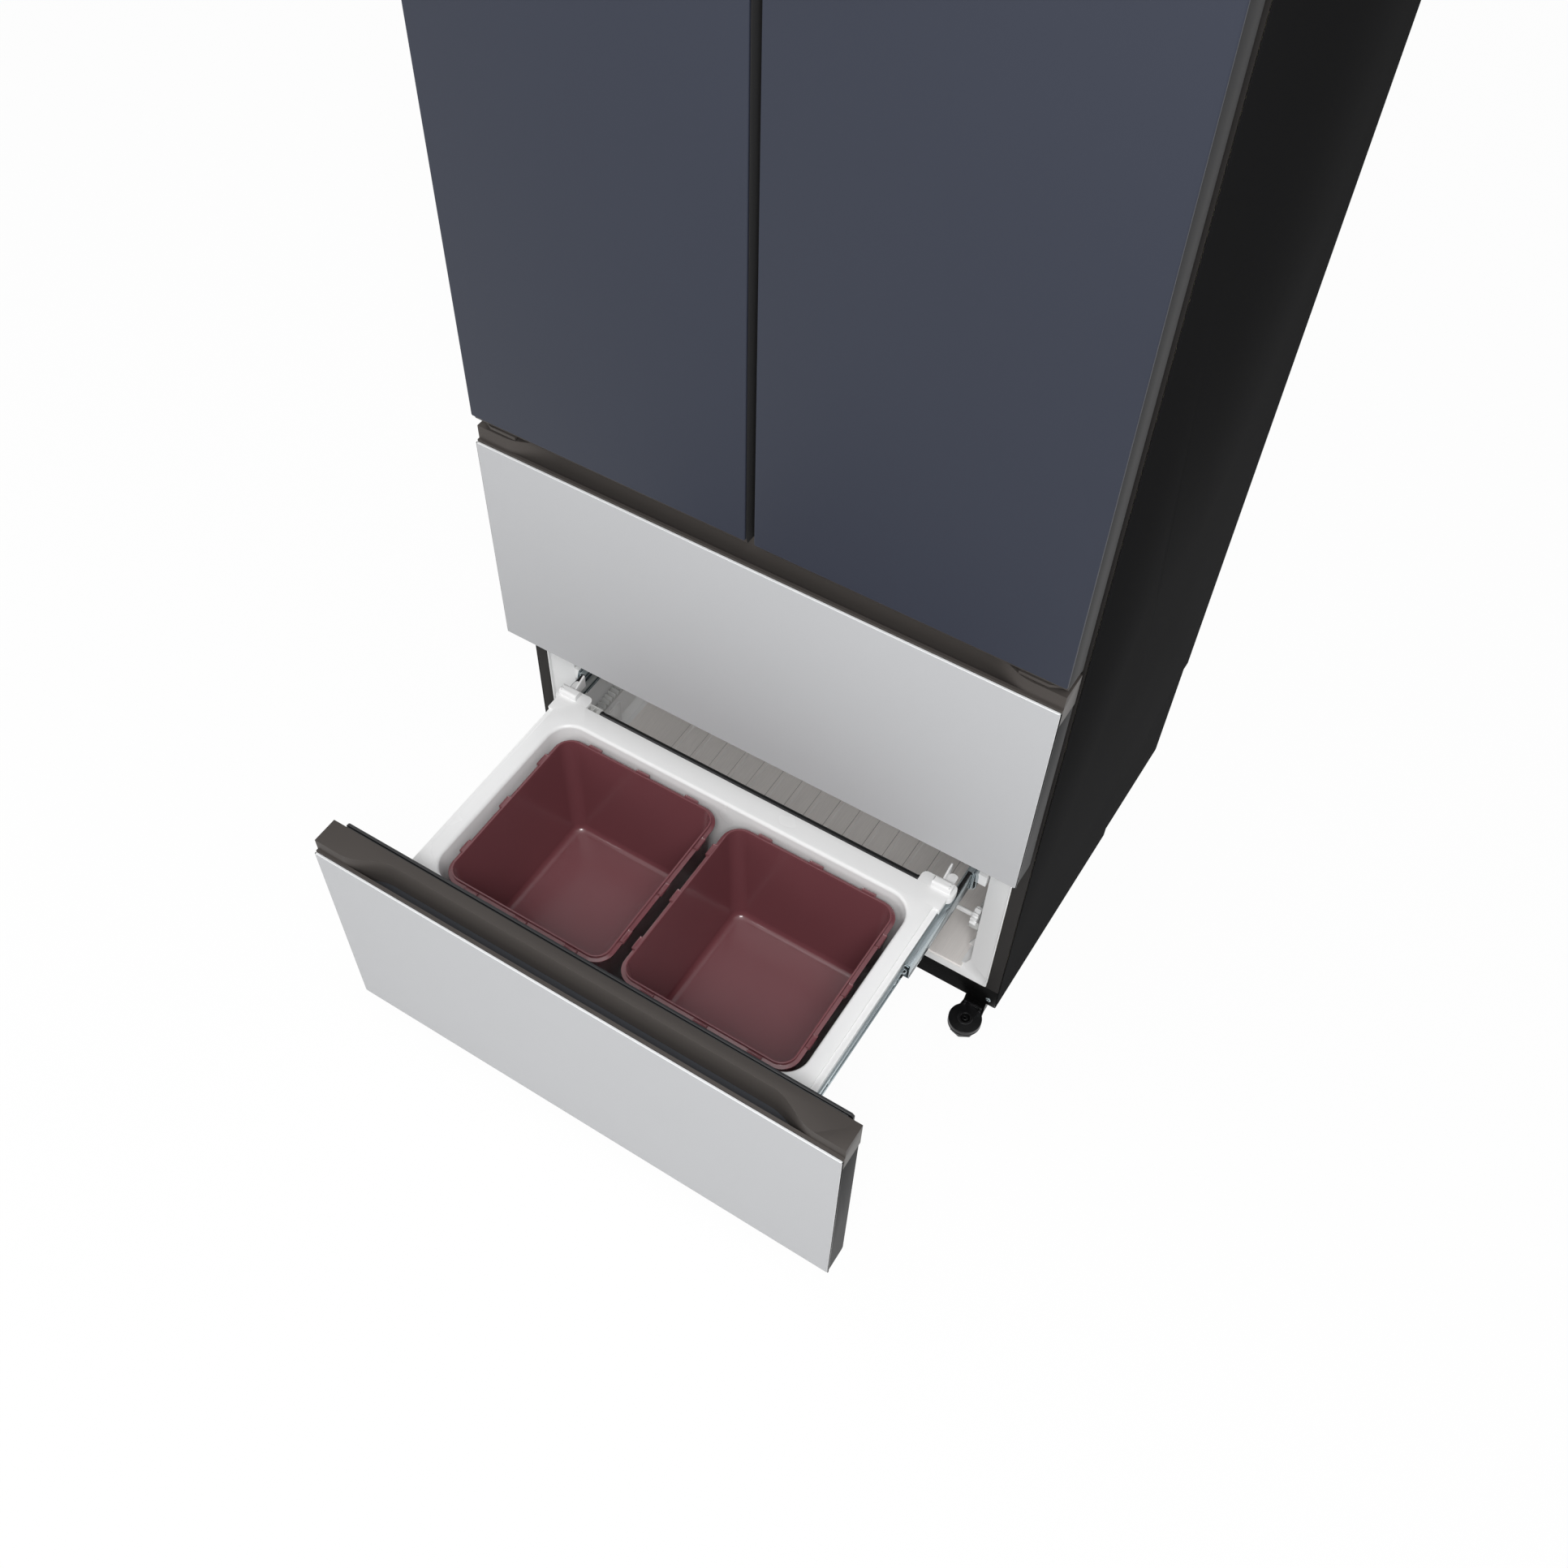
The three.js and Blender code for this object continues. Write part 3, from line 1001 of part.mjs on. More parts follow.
// Toothed strips that stand on both side walls of a drawer room.
function racks(level) {
  const pitchLine = level.rim - SHAFT_BELOW_RIM - PITCH_RADIUS;
  const slope = Math.tan(PRESSURE_ANGLE);
  const tip = pitchLine + GEAR_ADDENDUM;
  const halfAtPitch = RACK_PITCH / 4 - GEAR_BACKLASH / 4;
  const halfAtTip = halfAtPitch - GEAR_ADDENDUM * slope;
  const valley = pitchLine - (RACK_PITCH / 2 - halfAtPitch) / slope;
  const teeth = Array.from({ length: RACK_TEETH }, (_, i) => {
    const y = RACK_FIRST_TOOTH + i * RACK_PITCH;
    return [[y - halfAtTip, tip], [y + halfAtTip, tip], [y + RACK_PITCH / 2, valley]];
  }).flat();
  const outline = [[RACK_REAR, valley - RACK_BASE], [RACK_FRONT, valley - RACK_BASE], [RACK_FRONT, valley],
      ...teeth,
    [RACK_REAR, valley]];
  return [-1, 1].map((side) => prism('x', outline, side * RACK_INNER, side * (ROOM_HALF - 1)));
}

// Involute tooth flanks from the base circle to the tip, with one tooth pointing down at rest.
function pinionOutline() {
  const base = PITCH_RADIUS * Math.cos(PRESSURE_ANGLE);
  const [tip, root] = [PITCH_RADIUS + GEAR_ADDENDUM, PITCH_RADIUS - GEAR_DEDENDUM];
  const involute = (angle) => Math.tan(angle) - angle;
  const halfAngle = (radius) => Math.PI / (2 * PINION_TEETH) - GEAR_BACKLASH / (4 * PITCH_RADIUS)
    + involute(PRESSURE_ANGLE) - involute(Math.acos(Math.min(1, base / radius)));
  const flank = [[root, halfAngle(base)], ...[PITCH_RADIUS, tip].map((radius) => [radius, halfAngle(radius)])];
  return Array.from({ length: PINION_TEETH }, (_, i) => {
    const centre = -Math.PI / 2 + (2 * Math.PI * i) / PINION_TEETH;
    const rising = flank.map(([radius, half]) => [radius, centre - half]);
    const falling = [...flank].reverse().map(([radius, half]) => [radius, centre + half]);
    return [...rising, ...falling].map(([radius, angle]) => [radius * Math.cos(angle), radius * Math.sin(angle)]);
  }).flat();
}

// Cross shaft with a collar and a pinion at each end, drawn about its own axis.
function syncShaft() {
  const reach = WALL_FACE - 1.7;
  const [collarIn, collarOut] = [CARRIER_INNER - 13, CARRIER_INNER - 3 - CLEAR];
  const profile = [[0, -reach], [SHAFT_RADIUS, -reach], [SHAFT_RADIUS, -collarOut],
      [COLLAR_RADIUS, -collarOut], [COLLAR_RADIUS, -collarIn],
    [SHAFT_RADIUS, -collarIn], [SHAFT_RADIUS, collarIn], [COLLAR_RADIUS, collarIn],
        [COLLAR_RADIUS, collarOut], [SHAFT_RADIUS, collarOut],
    [SHAFT_RADIUS, reach], [0, reach]];
  const pinions = [-1, 1].map((side) => prism('x', pinionOutline(), side * (RACK_INNER + 1),
      side * (WALL_FACE - 2)));
  return join(turnedAlongX(profile, 12, 0, 0), pinions);
}

// ---------------------------------------------------------------- containers

// Lidless container: drafted tub, upright lip, outward flange with locking lugs.
function container(side, level) {
  const top = level.rim - CONTAINER_BELOW_RIM;
  const low = level.rim - BIN_DEPTH + BIN_WALL + CLEAR;
  const [xa, xb] = sorted(side * (CONTAINER_GAP / 2), side * (CONTAINER_GAP / 2 + CONTAINER_WIDTH));
  const [ya, yb] = [CONTAINER_FRONT, CONTAINER_FRONT + CONTAINER_LENGTH];
  const ring = (inset, radius) => roundedRect(xa + inset, xb - inset, ya + inset, yb - inset, radius);
  const lip = CONTAINER_FLANGE;
  const outer = loft('z', [
    { at: low, outline: ring(lip + CONTAINER_DRAFT, CONTAINER_RADIUS - lip) },
    { at: top, outline: ring(lip, CONTAINER_RADIUS - lip) },
  ]);
  const inner = loft('z', [
    { at: low + CONTAINER_WALL, outline: ring(lip + CONTAINER_DRAFT + CONTAINER_WALL,
        CONTAINER_RADIUS - lip - CONTAINER_WALL) },
    { at: top + 1, outline: ring(lip + CONTAINER_WALL, CONTAINER_RADIUS - lip - CONTAINER_WALL) },
  ]);
  const flange = prism('z', ring(2, CONTAINER_RADIUS - 2), top - 9, top - 6.5);
  const skirt = cut(prism('z', ring(2, CONTAINER_RADIUS - 2), top - 14, top - 6.5),
      prism('z', ring(4, CONTAINER_RADIUS - 4), top - 15, top - 9));
  const lugs = [0.2, 0.5, 0.8].flatMap((share) => {
    const x = xa + share * CONTAINER_WIDTH;
    const y = ya + share * CONTAINER_LENGTH;
    const half = LUG_LENGTH / 2;
    return [
      block(x - half, x + half, ya, ya + lip, top - 9, top - 3),
      block(x - half, x + half, yb - lip, yb, top - 9, top - 3),
      block(xa, xa + lip, y - half, y + half, top - 9, top - 3),
      block(xb - lip, xb, y - half, y + half, top - 9, top - 3),
    ];
  });
  return cut(join(outer, flange, skirt, lugs), inner);
}

function drawer(prefix, level) {
  const group = new THREE.Group();
  const ring = gasket(-PANEL_HALF + GASKET_INSET_SIDE, PANEL_HALF - GASKET_INSET_SIDE,
      level.bottom + GASKET_INSET_BOTTOM,
    level.capTop - GASKET_INSET_TOP);
  group.add(
    mesh(`${prefix}_front_panel`, bevelledPanel(-PANEL_HALF, PANEL_HALF, level.bottom, level.panelTop),
        MATERIALS.grey),
    mesh(`${prefix}_front_body`, frontBody(level), MATERIALS.trim),
    mesh(`${prefix}_handle_cap`, handleCap(level), MATERIALS.trim),
    mesh(`${prefix}_inner_plate`, innerPlate(level), MATERIALS.white),
    mesh(`${prefix}_gasket`, ring, MATERIALS.rubber),
    mesh(`${prefix}_bin`, drawerBin(level), MATERIALS.bin),
  );
  return group;
}

// Shaft in its carriers, turned so that its teeth mesh with the racks when the drawer is out by reach.
function shaftGroup(prefix, level, reach) {
  const travelled = SHAFT_DEPTH - reach - (RACK_FIRST_TOOTH + RACK_PITCH / 2);
  const shaft = mesh(`${prefix}_sync_shaft`, syncShaft(), MATERIALS.black);
  shaft.position.set(0, SHAFT_DEPTH, level.rim - SHAFT_BELOW_RIM);
  shaft.rotation.x = -(travelled / PITCH_RADIUS);
  return shaft;
}

function slideGroup(prefix, level) {
  const group = new THREE.Group();
  for (const [hand, side] of HANDS) {
    group.add(mesh(`${prefix}_${hand}_sliding_rail`, slidingRail(side, level), MATERIALS.zinc));
  }
  return group;
}

// ---------------------------------------------------------------- assembly

function cabinet() {
  const group = new THREE.Group();
  group.add(
    mesh('outer_case', outerCase(), MATERIALS.case),
    mesh('foam_body', foamBody(), MATERIALS.foam),
    mesh('back_panel', backPanel(), MATERIALS.galvanised),
    mesh('front_frame', frontFrame(), MATERIALS.trim),
    mesh('middle_liner', middleLiner(), MATERIALS.white),
    mesh('lower_liner', lowerLiner(), MATERIALS.white),
    mesh('middle_floor_plate', floorPlate(MOUTHS.middle.z0 + SHOULDER_RISE, DRAWER_ROOM_BACK - 8),
        MATERIALS.steel),
    mesh('lower_floor_plate', floorPlate(MOUTHS.lower.z0 + SHOULDER_RISE, LOWER_STEP_FRONT - 3), MATERIALS.steel),
    mesh('base_plate', basePlate(), MATERIALS.black),
    mesh('machine_cover', machineCover(), MATERIALS.galvanised),
    mesh('compressor', compressor(), MATERIALS.black),
  );
  const fan = mesh('condenser_fan', condenserFan(), MATERIALS.black);
  fan.position.set(FAN_X, FAN_Y, BASE_TOP + CLEAR + FAN_RADIUS + 12);
  group.add(fan);
  for (const [hand, side] of HANDS) {
    const foot = mesh(`front_${hand}_foot`, levellingFoot(), MATERIALS.black);
    foot.position.set(side * FOOT_X, FOOT_Y, 0);
    const wheel = mesh(`rear_${hand}_roller`, roller(), MATERIALS.black);
    wheel.position.set(side * ROLLER_X, ROLLER_Y, ROLLER_RADIUS);
    group.add(
      foot,
      wheel,
      mesh(`upper_${hand}_liner`, upperLiner(side), MATERIALS.white),
      mesh(`upper_${hand}_low_shelf`, glassShelf(side, SHELF_LEVELS[0]), MATERIALS.glass),
      mesh(`upper_${hand}_high_shelf`, glassShelf(side, SHELF_LEVELS[1]), MATERIALS.glass),
      mesh(`${hand}_top_hinge`, topHinge(side), MATERIALS.trim),
      mesh(`${hand}_hinge_cover`, hingeCover(side), MATERIALS.trim),
      mesh(`${hand}_middle_hinge`, middleHinge(side), MATERIALS.trim),
      mesh(`middle_${hand}_cabinet_rail`, cabinetRail(side, middleFront), MATERIALS.zinc),
      mesh(`lower_${hand}_cabinet_rail`, cabinetRail(side, lowerFront), MATERIALS.zinc),
    );
  }
  return group;
}

// The object's origin is under the middle of its outline with the lower drawer drawn out.
const PANEL_PLANE_Y = (OPEN_AT_REST - DEPTH) / 2;

const refrigerator = new THREE.Group();
const closedParts = new THREE.Group();
closedParts.position.y = PANEL_PLANE_Y;
const middleDrawer = drawer('middle', middleFront);
middleDrawer.add(shaftGroup('middle', middleFront, 0));
closedParts.add(cabinet(), door('left', -1), door('right', 1), middleDrawer, slideGroup('middle', middleFront));

const lowerDrawer = drawer('lower', lowerFront);
lowerDrawer.add(
  shaftGroup('lower', lowerFront, OPEN_AT_REST),
  mesh('left_container', container(-1, lowerFront), MATERIALS.container),
  mesh('right_container', container(1, lowerFront), MATERIALS.container),
);
lowerDrawer.position.y = PANEL_PLANE_Y - OPEN_AT_REST;
const lowerSlides = slideGroup('lower', lowerFront);
lowerSlides.position.y = PANEL_PLANE_Y - OPEN_AT_REST / 2;

refrigerator.add(closedParts, lowerDrawer, lowerSlides);

export default refrigerator;
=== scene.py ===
import json
import math

import bpy
from mathutils import Matrix, Vector

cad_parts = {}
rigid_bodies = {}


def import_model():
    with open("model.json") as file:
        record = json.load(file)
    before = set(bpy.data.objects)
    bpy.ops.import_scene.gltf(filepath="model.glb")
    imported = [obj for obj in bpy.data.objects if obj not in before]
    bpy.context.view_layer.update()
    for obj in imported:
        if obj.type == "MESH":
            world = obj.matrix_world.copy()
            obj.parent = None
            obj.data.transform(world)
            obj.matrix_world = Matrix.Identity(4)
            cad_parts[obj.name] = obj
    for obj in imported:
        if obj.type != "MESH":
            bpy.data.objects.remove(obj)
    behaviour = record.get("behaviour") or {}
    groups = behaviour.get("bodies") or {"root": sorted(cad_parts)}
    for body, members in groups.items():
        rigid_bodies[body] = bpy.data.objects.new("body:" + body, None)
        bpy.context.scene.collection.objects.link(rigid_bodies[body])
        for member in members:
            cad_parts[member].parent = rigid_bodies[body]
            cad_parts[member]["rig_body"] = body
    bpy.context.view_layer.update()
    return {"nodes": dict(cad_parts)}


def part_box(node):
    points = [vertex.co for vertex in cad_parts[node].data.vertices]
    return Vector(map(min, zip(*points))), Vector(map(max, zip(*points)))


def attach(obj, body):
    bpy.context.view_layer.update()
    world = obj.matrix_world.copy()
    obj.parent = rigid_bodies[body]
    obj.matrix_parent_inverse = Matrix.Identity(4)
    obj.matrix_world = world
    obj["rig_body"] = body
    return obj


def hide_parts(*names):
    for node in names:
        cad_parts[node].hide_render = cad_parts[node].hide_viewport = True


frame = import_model()

bl_info = {
    "name": "Kimchi Refrigerator",
    "version": (1, 0, 0),
    "blender": (4, 5, 0),
    "location": "View3D > Sidebar > Refrigerator",
    "description": "Builds the pieces and finishes of a four-door kimchi refrigerator",
    "category": "Object",
}

FRONT = -0.11585  # plane of the closed front panels
FRAME_FACE = FRONT + 0.062  # plane of the cabinet's front frame and of the flanges round its mouths
LOWER_OPEN = 0.4793  # how far the lower drawer stands out in the photograph
PANEL_HALF = 0.453  # half the width of the drawer panels
CAP_RISE = 0.025  # handle cap's top above its panel
RIM_DROP = 0.080  # bin's rim below the cap's top
SLIDE_DROP = 0.040  # slides' middle line below the rim
SHAFT_DROP = 0.1623  # cross shaft's axis below the rim
SHAFT_BACK = 0.568  # cross shaft's axis behind the front
BIN_DEPTH = 0.235  # tub's underside below the rim
WALL = 0.3905  # side walls of the drawer rooms, from the middle plane
DRAWERS = {
    # "slides" is the front plane's place at half the travel, which the sliding members follow.
    "middle": {
        "front": FRONT, "slides": FRONT,
        "panel_bottom": 0.4871, "panel_top": 0.8791, "mouth": 0.5201,
    },
    "lower": {
        "front": FRONT - LOWER_OPEN, "slides": FRONT - LOWER_OPEN / 2,
        "panel_bottom": 0.0382, "panel_top": 0.4482, "mouth": 0.0900,
    },
}
for level in DRAWERS.values():
    level["cap_top"] = level["panel_top"] + CAP_RISE
    level["rim"] = level["cap_top"] - RIM_DROP
HANDS = {"left": -1, "right": 1}
LENS_SHIFT = (0.03817, 0.04081)
EYE = (0.7962, -1.2758 + FRONT, 2.4372)
EYE_RIGHT = (0.83918, 0.54384, -0.00439)
EYE_UP = (-0.4473, 0.69475, 0.56325)


# --- sizes and colours


def colour(label, text, default):
    return bpy.props.FloatVectorProperty(
        name=label, description=text, subtype="COLOR", size=3, min=0, max=1, default=default
    )


def length(label, text, default):
    return bpy.props.FloatProperty(
        name=label, description=text, default=default, min=0, unit="LENGTH", subtype="DISTANCE"
    )


class RefrigeratorColours(bpy.types.PropertyGroup):
    doors: colour("Doors", "Paint of the upper door panels", (0.033, 0.038, 0.055))
    drawers: colour("Drawers", "Paint of the drawer panels", (0.472, 0.478, 0.490))
    trim: colour("Trim", "Metallic paint of frames and handle caps", (0.075, 0.067, 0.062))
    case: colour("Case", "Paint of the side walls and top", (0.014, 0.014, 0.0145))
    white: colour("White", "Moulded white plastic of rooms and bins", (0.84, 0.84, 0.84))
    container: colour("Containers", "Tinted plastic of the food containers", (0.20, 0.066, 0.076))
    floor_plate: colour("Floor plates", "Brushed steel of the drawer rooms' floors", (0.92, 0.88, 0.85))


class RefrigeratorSizes(bpy.types.PropertyGroup):
    soft_edge: length("Soft edge", "Radius along moulded edges", 0.0012)
    pocket_depth: length("Pocket depth", "Depth of the finger pocket behind the cap face", 0.0285)
    pocket_half: length("Pocket half width", "Half the pocket's full-depth width", 0.325)
    pocket_end: length("Pocket end", "Where the pocket's wave reaches the cap face", 0.405)
    container_wall: length("Container wall", "Wall thickness of the food containers", 0.0025)
    camera_lens: bpy.props.FloatProperty(
        name="Lens", description="Focal length of the view in millimetres", default=37.30, min=1
    )


# --- modelling helpers


def only(*pieces):
    if bpy.context.object and bpy.context.object.mode != "OBJECT":
        bpy.ops.object.mode_set(mode="OBJECT")
    bpy.ops.object.select_all(action="DESELECT")
    for piece in pieces:
        piece.select_set(True)
    bpy.context.view_layer.objects.active = pieces[0]
    return pieces[0]


def box(name, x, y, z):
    """A block between two corners, its place in its mesh."""
    bpy.ops.object.select_all(action="DESELECT")
    lows, highs = zip(*(sorted(pair) for pair in (x, y, z)))
    bpy.ops.mesh.primitive_cube_add(size=1, location=[(a + b) / 2 for a, b in zip(lows, highs)])
    piece = bpy.context.object
    piece.name = piece.data.name = name
    piece.scale = [b - a for a, b in zip(lows, highs)]
    bpy.ops.object.transform_apply(location=True, rotation=True, scale=True)
    return piece


def rod(name, radius, start, end, sides=32):
    """A cylinder between two points on a line along one axis."""
    bpy.ops.object.select_all(action="DESELECT")
    a, b = Vector(start), Vector(end)
    turn = (b - a).to_track_quat("Z", "Y").to_euler()
    bpy.ops.mesh.primitive_cylinder_add(
        vertices=sides, radius=radius, depth=(b - a).length, location=(a + b) / 2, rotation=turn
    )
    piece = bpy.context.object
    piece.name = piece.data.name = name
    bpy.ops.object.transform_apply(location=True, rotation=True, scale=True)
    return piece


def pick(piece, kind, test):
    """Selects what passes the test and leaves the piece in edit mode."""
    only(piece)
    bpy.ops.object.mode_set(mode="EDIT")
    bpy.ops.mesh.select_mode(type=kind)
    bpy.ops.mesh.select_all(action="DESELECT")
    bpy.ops.object.mode_set(mode="OBJECT")
    mesh = piece.data
    if kind == "FACE":
        for face in mesh.polygons:
            face.select = bool(test(face.center, face.normal))
    elif kind == "EDGE":
        for edge in mesh.edges:
            a, b = (mesh.vertices[i].co for i in edge.vertices)
            edge.select = bool(test(a, b))
    else:
        for vertex in mesh.vertices:
            vertex.select = bool(test(vertex.co))
    bpy.ops.object.mode_set(mode="EDIT")


def done(piece):
    bpy.ops.object.mode_set(mode="OBJECT")
    return piece


def modify(piece, kind, **settings):
    only(piece)
    modifier = piece.modifiers.new(kind.title(), kind)
    for key, value in settings.items():
        setattr(modifier, key, value)
    bpy.ops.object.modifier_apply(modifier=modifier.name)
    return piece


def combine(piece, *others, how="UNION"):
    for other in others:
        modify(piece, "BOOLEAN", operation=how, object=other, solver="EXACT")
        bpy.data.objects.remove(other)
    return piece


def cut_out(piece, *others):
    return combine(piece, *others, how="DIFFERENCE")


def upright(a, b):
    return near(a.x, b.x) and near(a.y, b.y) and not near(a.z, b.z, 1e-4)


def near(a, b, gap=1e-5):
    return abs(a - b) < gap


def faces_up(centre, normal):
    return normal.z > 0.9


def round_edges(piece, test, radius, segments):
    pick(piece, "EDGE", test)
    bpy.ops.mesh.bevel(offset=radius, segments=segments, profile=0.5)
    return done(piece)


def shift(piece, test, move):
    """Moves the vertices that pass the test."""
    pick(piece, "VERT", test)
    bpy.ops.transform.translate(value=move)
    return done(piece)


def sink(piece, test, border, move):
    """Moves the faces that pass the test, inside a border of so much."""
    pick(piece, "FACE", test)
    bpy.ops.mesh.inset(thickness=border)
    bpy.ops.transform.translate(value=move)
    return done(piece)


def slice_at(piece, place, normal, **cut):
    """Adds edges all round a piece where a plane crosses it."""
    pick(piece, "FACE", lambda *face: True)
    bpy.ops.mesh.bisect(plane_co=place, plane_no=normal, **cut)
    return done(piece)


def pull_out(piece, test, move, border=0):
    """Extrudes the faces that pass the test, inside a border if one is given, in edit mode."""
    pick(piece, "FACE", test)
    if border:
        bpy.ops.mesh.inset(thickness=border)
    bpy.ops.mesh.extrude_region_move(TRANSFORM_OT_translate={"value": move})


def join(piece, *others):
    only(piece, *others)
    bpy.ops.object.join()
    return piece


def shade(piece, angle=40):
    """Shades smoothly over edges blunter than the angle."""
    only(piece)
    bpy.ops.object.shade_smooth_by_angle(angle=math.radians(angle))
    return piece


def taper(piece, z, shrink_x, shrink_y):
    """Draws the level at z in by so much on each side, as a mould's draft does."""
    level = [v.co for v in piece.data.vertices if near(v.co.z, z)]
    lows = [min(co[i] for co in level) for i in range(2)]
    highs = [max(co[i] for co in level) for i in range(2)]
    size = [b - a for a, b in zip(lows, highs)]
    centre = [(a + b) / 2 for a, b in zip(lows, highs)] + [z]
    pick(piece, "VERT", lambda co: near(co.z, z))
    bpy.ops.transform.resize(
        value=(1 - 2 * shrink_x / size[0], 1 - 2 * shrink_y / size[1], 1), center_override=centre
    )
    return done(piece)


def soften(piece, width, segments=2, angle=35, smooth=40):
    """Rounds every sharp edge and shades the rest smoothly."""
    modify(
        piece, "BEVEL", width=width, segments=segments, limit_method="ANGLE",
        angle_limit=math.radians(angle), use_clamp_overlap=True, miter_outer="MITER_ARC",
    )
    return shade(piece, smooth)


def has_openings(node, centre, normal):
    """Tells faces round mouths, slots and holes, which close over if their triangles are merged."""
    if node == "machine_cover":
        return abs(normal.y) > 0.99
    if node == "compressor":
        return abs(normal.z) > 0.99
    return normal.y < -0.99 and near(centre.y, FRAME_FACE, 5e-4)


def from_solid(node):
    """A merged copy of a solid's own mesh, to be given real edges."""
    source = frame["nodes"][node]
    piece = source.copy()
    piece.data = source.data.copy()
    for key in list(piece.keys()):
        del piece[key]
    piece.parent = None
    piece.matrix_world = Matrix.Identity(4)
    bpy.context.scene.collection.objects.link(piece)
    piece.name = piece.data.name = f"dressed_{node}"
    piece.data.materials.clear()
    only(piece)
    if piece.data.has_custom_normals:
        bpy.ops.mesh.customdata_custom_splitnormals_clear()
    bpy.ops.object.mode_set(mode="EDIT")
    bpy.ops.mesh.select_all(action="SELECT")
    bpy.ops.mesh.remove_doubles(threshold=1e-6)
    pick(piece, "FACE", lambda centre, normal: not has_openings(node, centre, normal))
    bpy.ops.mesh.dissolve_limited(angle_limit=math.radians(0.4))
    return done(piece)


def finish(piece, look, body, *nodes, slot=None):
    """Gives a piece its main finish, its body and the solids it stands for; its slot is not used."""
    if piece.data.materials:
        piece.data.materials[0] = finish_of(look)
    else:
        piece.data.materials.append(finish_of(look))
    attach(piece, body)
    if nodes:
        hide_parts(*nodes)
    return piece


def body_of(node):
    return frame["nodes"][node]["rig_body"]


def paint_solid(node, look):
    """A solid whose shape is right keeps its mesh and gets a finish."""
    solid = frame["nodes"][node]
    solid.data.materials.clear()
    solid.data.materials.append(finish_of(look))


def second_finish(piece, look, test):
    """Gives the faces that pass the test another finish."""
    if not piece.data.materials:
        piece.data.materials.append(None)
    piece.data.materials.append(finish_of(look))
    piece.active_material_index = len(piece.data.materials) - 1
    pick(piece, "FACE", test)
    bpy.ops.object.material_slot_assign()
    return done(piece)


def copy_of(piece, name, move):
    """A copy with its own mesh, moved within it."""
    only(piece)
    bpy.ops.object.duplicate()
    twin = bpy.context.object
    twin.name = twin.data.name = name
    return shift(twin, lambda co: True, move)


def cut_past(piece, place, normal):
    """Cuts away what lies past a plane and closes the cut."""
    return slice_at(piece, place, normal, clear_outer=True, use_fill=True)


def dress(node, look, width, segments=2, angle=35, smooth=40, slot=None):
    """Shows a solid with rounded edges and a finish."""
    piece = soften(from_solid(node), width, segments, angle, smooth)
    return finish(piece, look, body_of(node), node, slot=slot)


# --- finishes


class Surface:
    """A Principled material and the nodes that vary it in Object coordinates."""

    def __init__(self, name, base, roughness, metallic=0.0, **sockets):
        self.name = name
        self.material = bpy.data.materials.new(name)
        self.material.use_nodes = True
        self.tree = self.material.node_tree
        self.shader = self.tree.nodes["Principled BSDF"]
        self.base = (*base, 1.0)
        self.roughness = roughness
        self.shader.inputs["Base Color"].default_value = self.base
        self.shader.inputs["Roughness"].default_value = roughness
        self.shader.inputs["Metallic"].default_value = metallic
        for socket, value in sockets.items():
            self.shader.inputs[socket.replace("_", " ")].default_value = value
        self.place = self.add("ShaderNodeTexCoord")
        self.bump = None

    def add(self, kind, **settings):
        node = self.tree.nodes.new(kind)
        for key, value in settings.items():
            setattr(node, key, value)
        return node

    def link(self, out, into):
        self.tree.links.new(out, into)

    def noise(self, scale, stretch=(1, 1, 1), detail=4.0):
        mapping = self.add("ShaderNodeMapping")
        mapping.inputs["Scale"].default_value = stretch
        self.link(self.place.outputs["Object"], mapping.inputs["Vector"])
        noise = self.add("ShaderNodeTexNoise")
        noise.inputs["Scale"].default_value = scale
        noise.inputs["Detail"].default_value = detail
        self.link(mapping.outputs["Vector"], noise.inputs["Vector"])
        return noise.outputs["Fac"]

    def spread(self, value, low, high):
        """Stretches the middle of a noise over a range."""
        ramp = self.add("ShaderNodeMapRange")
        for socket, number in (("From Min", 0.3), ("From Max", 0.7), ("To Min", low), ("To Max", high)):
            ramp.inputs[socket].default_value = number
        self.link(value, ramp.inputs["Value"])
        return ramp.outputs["Result"]

    def mottle(self, value, share):
        """Varies the colour's lightness by a small share either way."""
        mix = self.add("ShaderNodeMix", data_type="RGBA")
        mix.inputs["A"].default_value = (*(c * (1 - share) for c in self.base[:3]), 1)
        mix.inputs["B"].default_value = (*(min(1, c * (1 + share)) for c in self.base[:3]), 1)
        self.link(value, mix.inputs["Factor"])
        self.link(mix.outputs["Result"], self.shader.inputs["Base Color"])

    def rough(self, value, share):
        varied = self.spread(value, self.roughness - share, self.roughness + share)
        self.link(varied, self.shader.inputs["Roughness"])

    def relief(self, value, strength, distance=0.0005):
        bump = self.add("ShaderNodeBump")
        bump.inputs["Strength"].default_value = strength
        bump.inputs["Distance"].default_value = distance
        self.link(value, bump.inputs["Height"])
        if self.bump:
            self.link(self.bump.outputs["Normal"], bump.inputs["Normal"])
        self.link(bump.outputs["Normal"], self.shader.inputs["Normal"])
        self.bump = bump


def satin_paint(name, base, roughness, metallic=0.0, share=0.04, **sockets):
    surface = Surface(name, base, roughness, metallic, **sockets)
    surface.mottle(surface.noise(6, detail=2), share)
    surface.rough(surface.noise(3, detail=1), 0.015)
    surface.relief(surface.noise(1400, detail=2), 0.02, 0.0001)
    return surface


def brushed(name, base, roughness, stretch, metallic=0.9, share=0.12, relief=0.1):
    surface = Surface(name, base, roughness, metallic)
    lines = surface.noise(60, stretch, detail=8)
    surface.mottle(surface.spread(lines, 0, 1), share)
    surface.rough(lines, 0.08)
    surface.relief(lines, relief, 0.0002)
    return surface


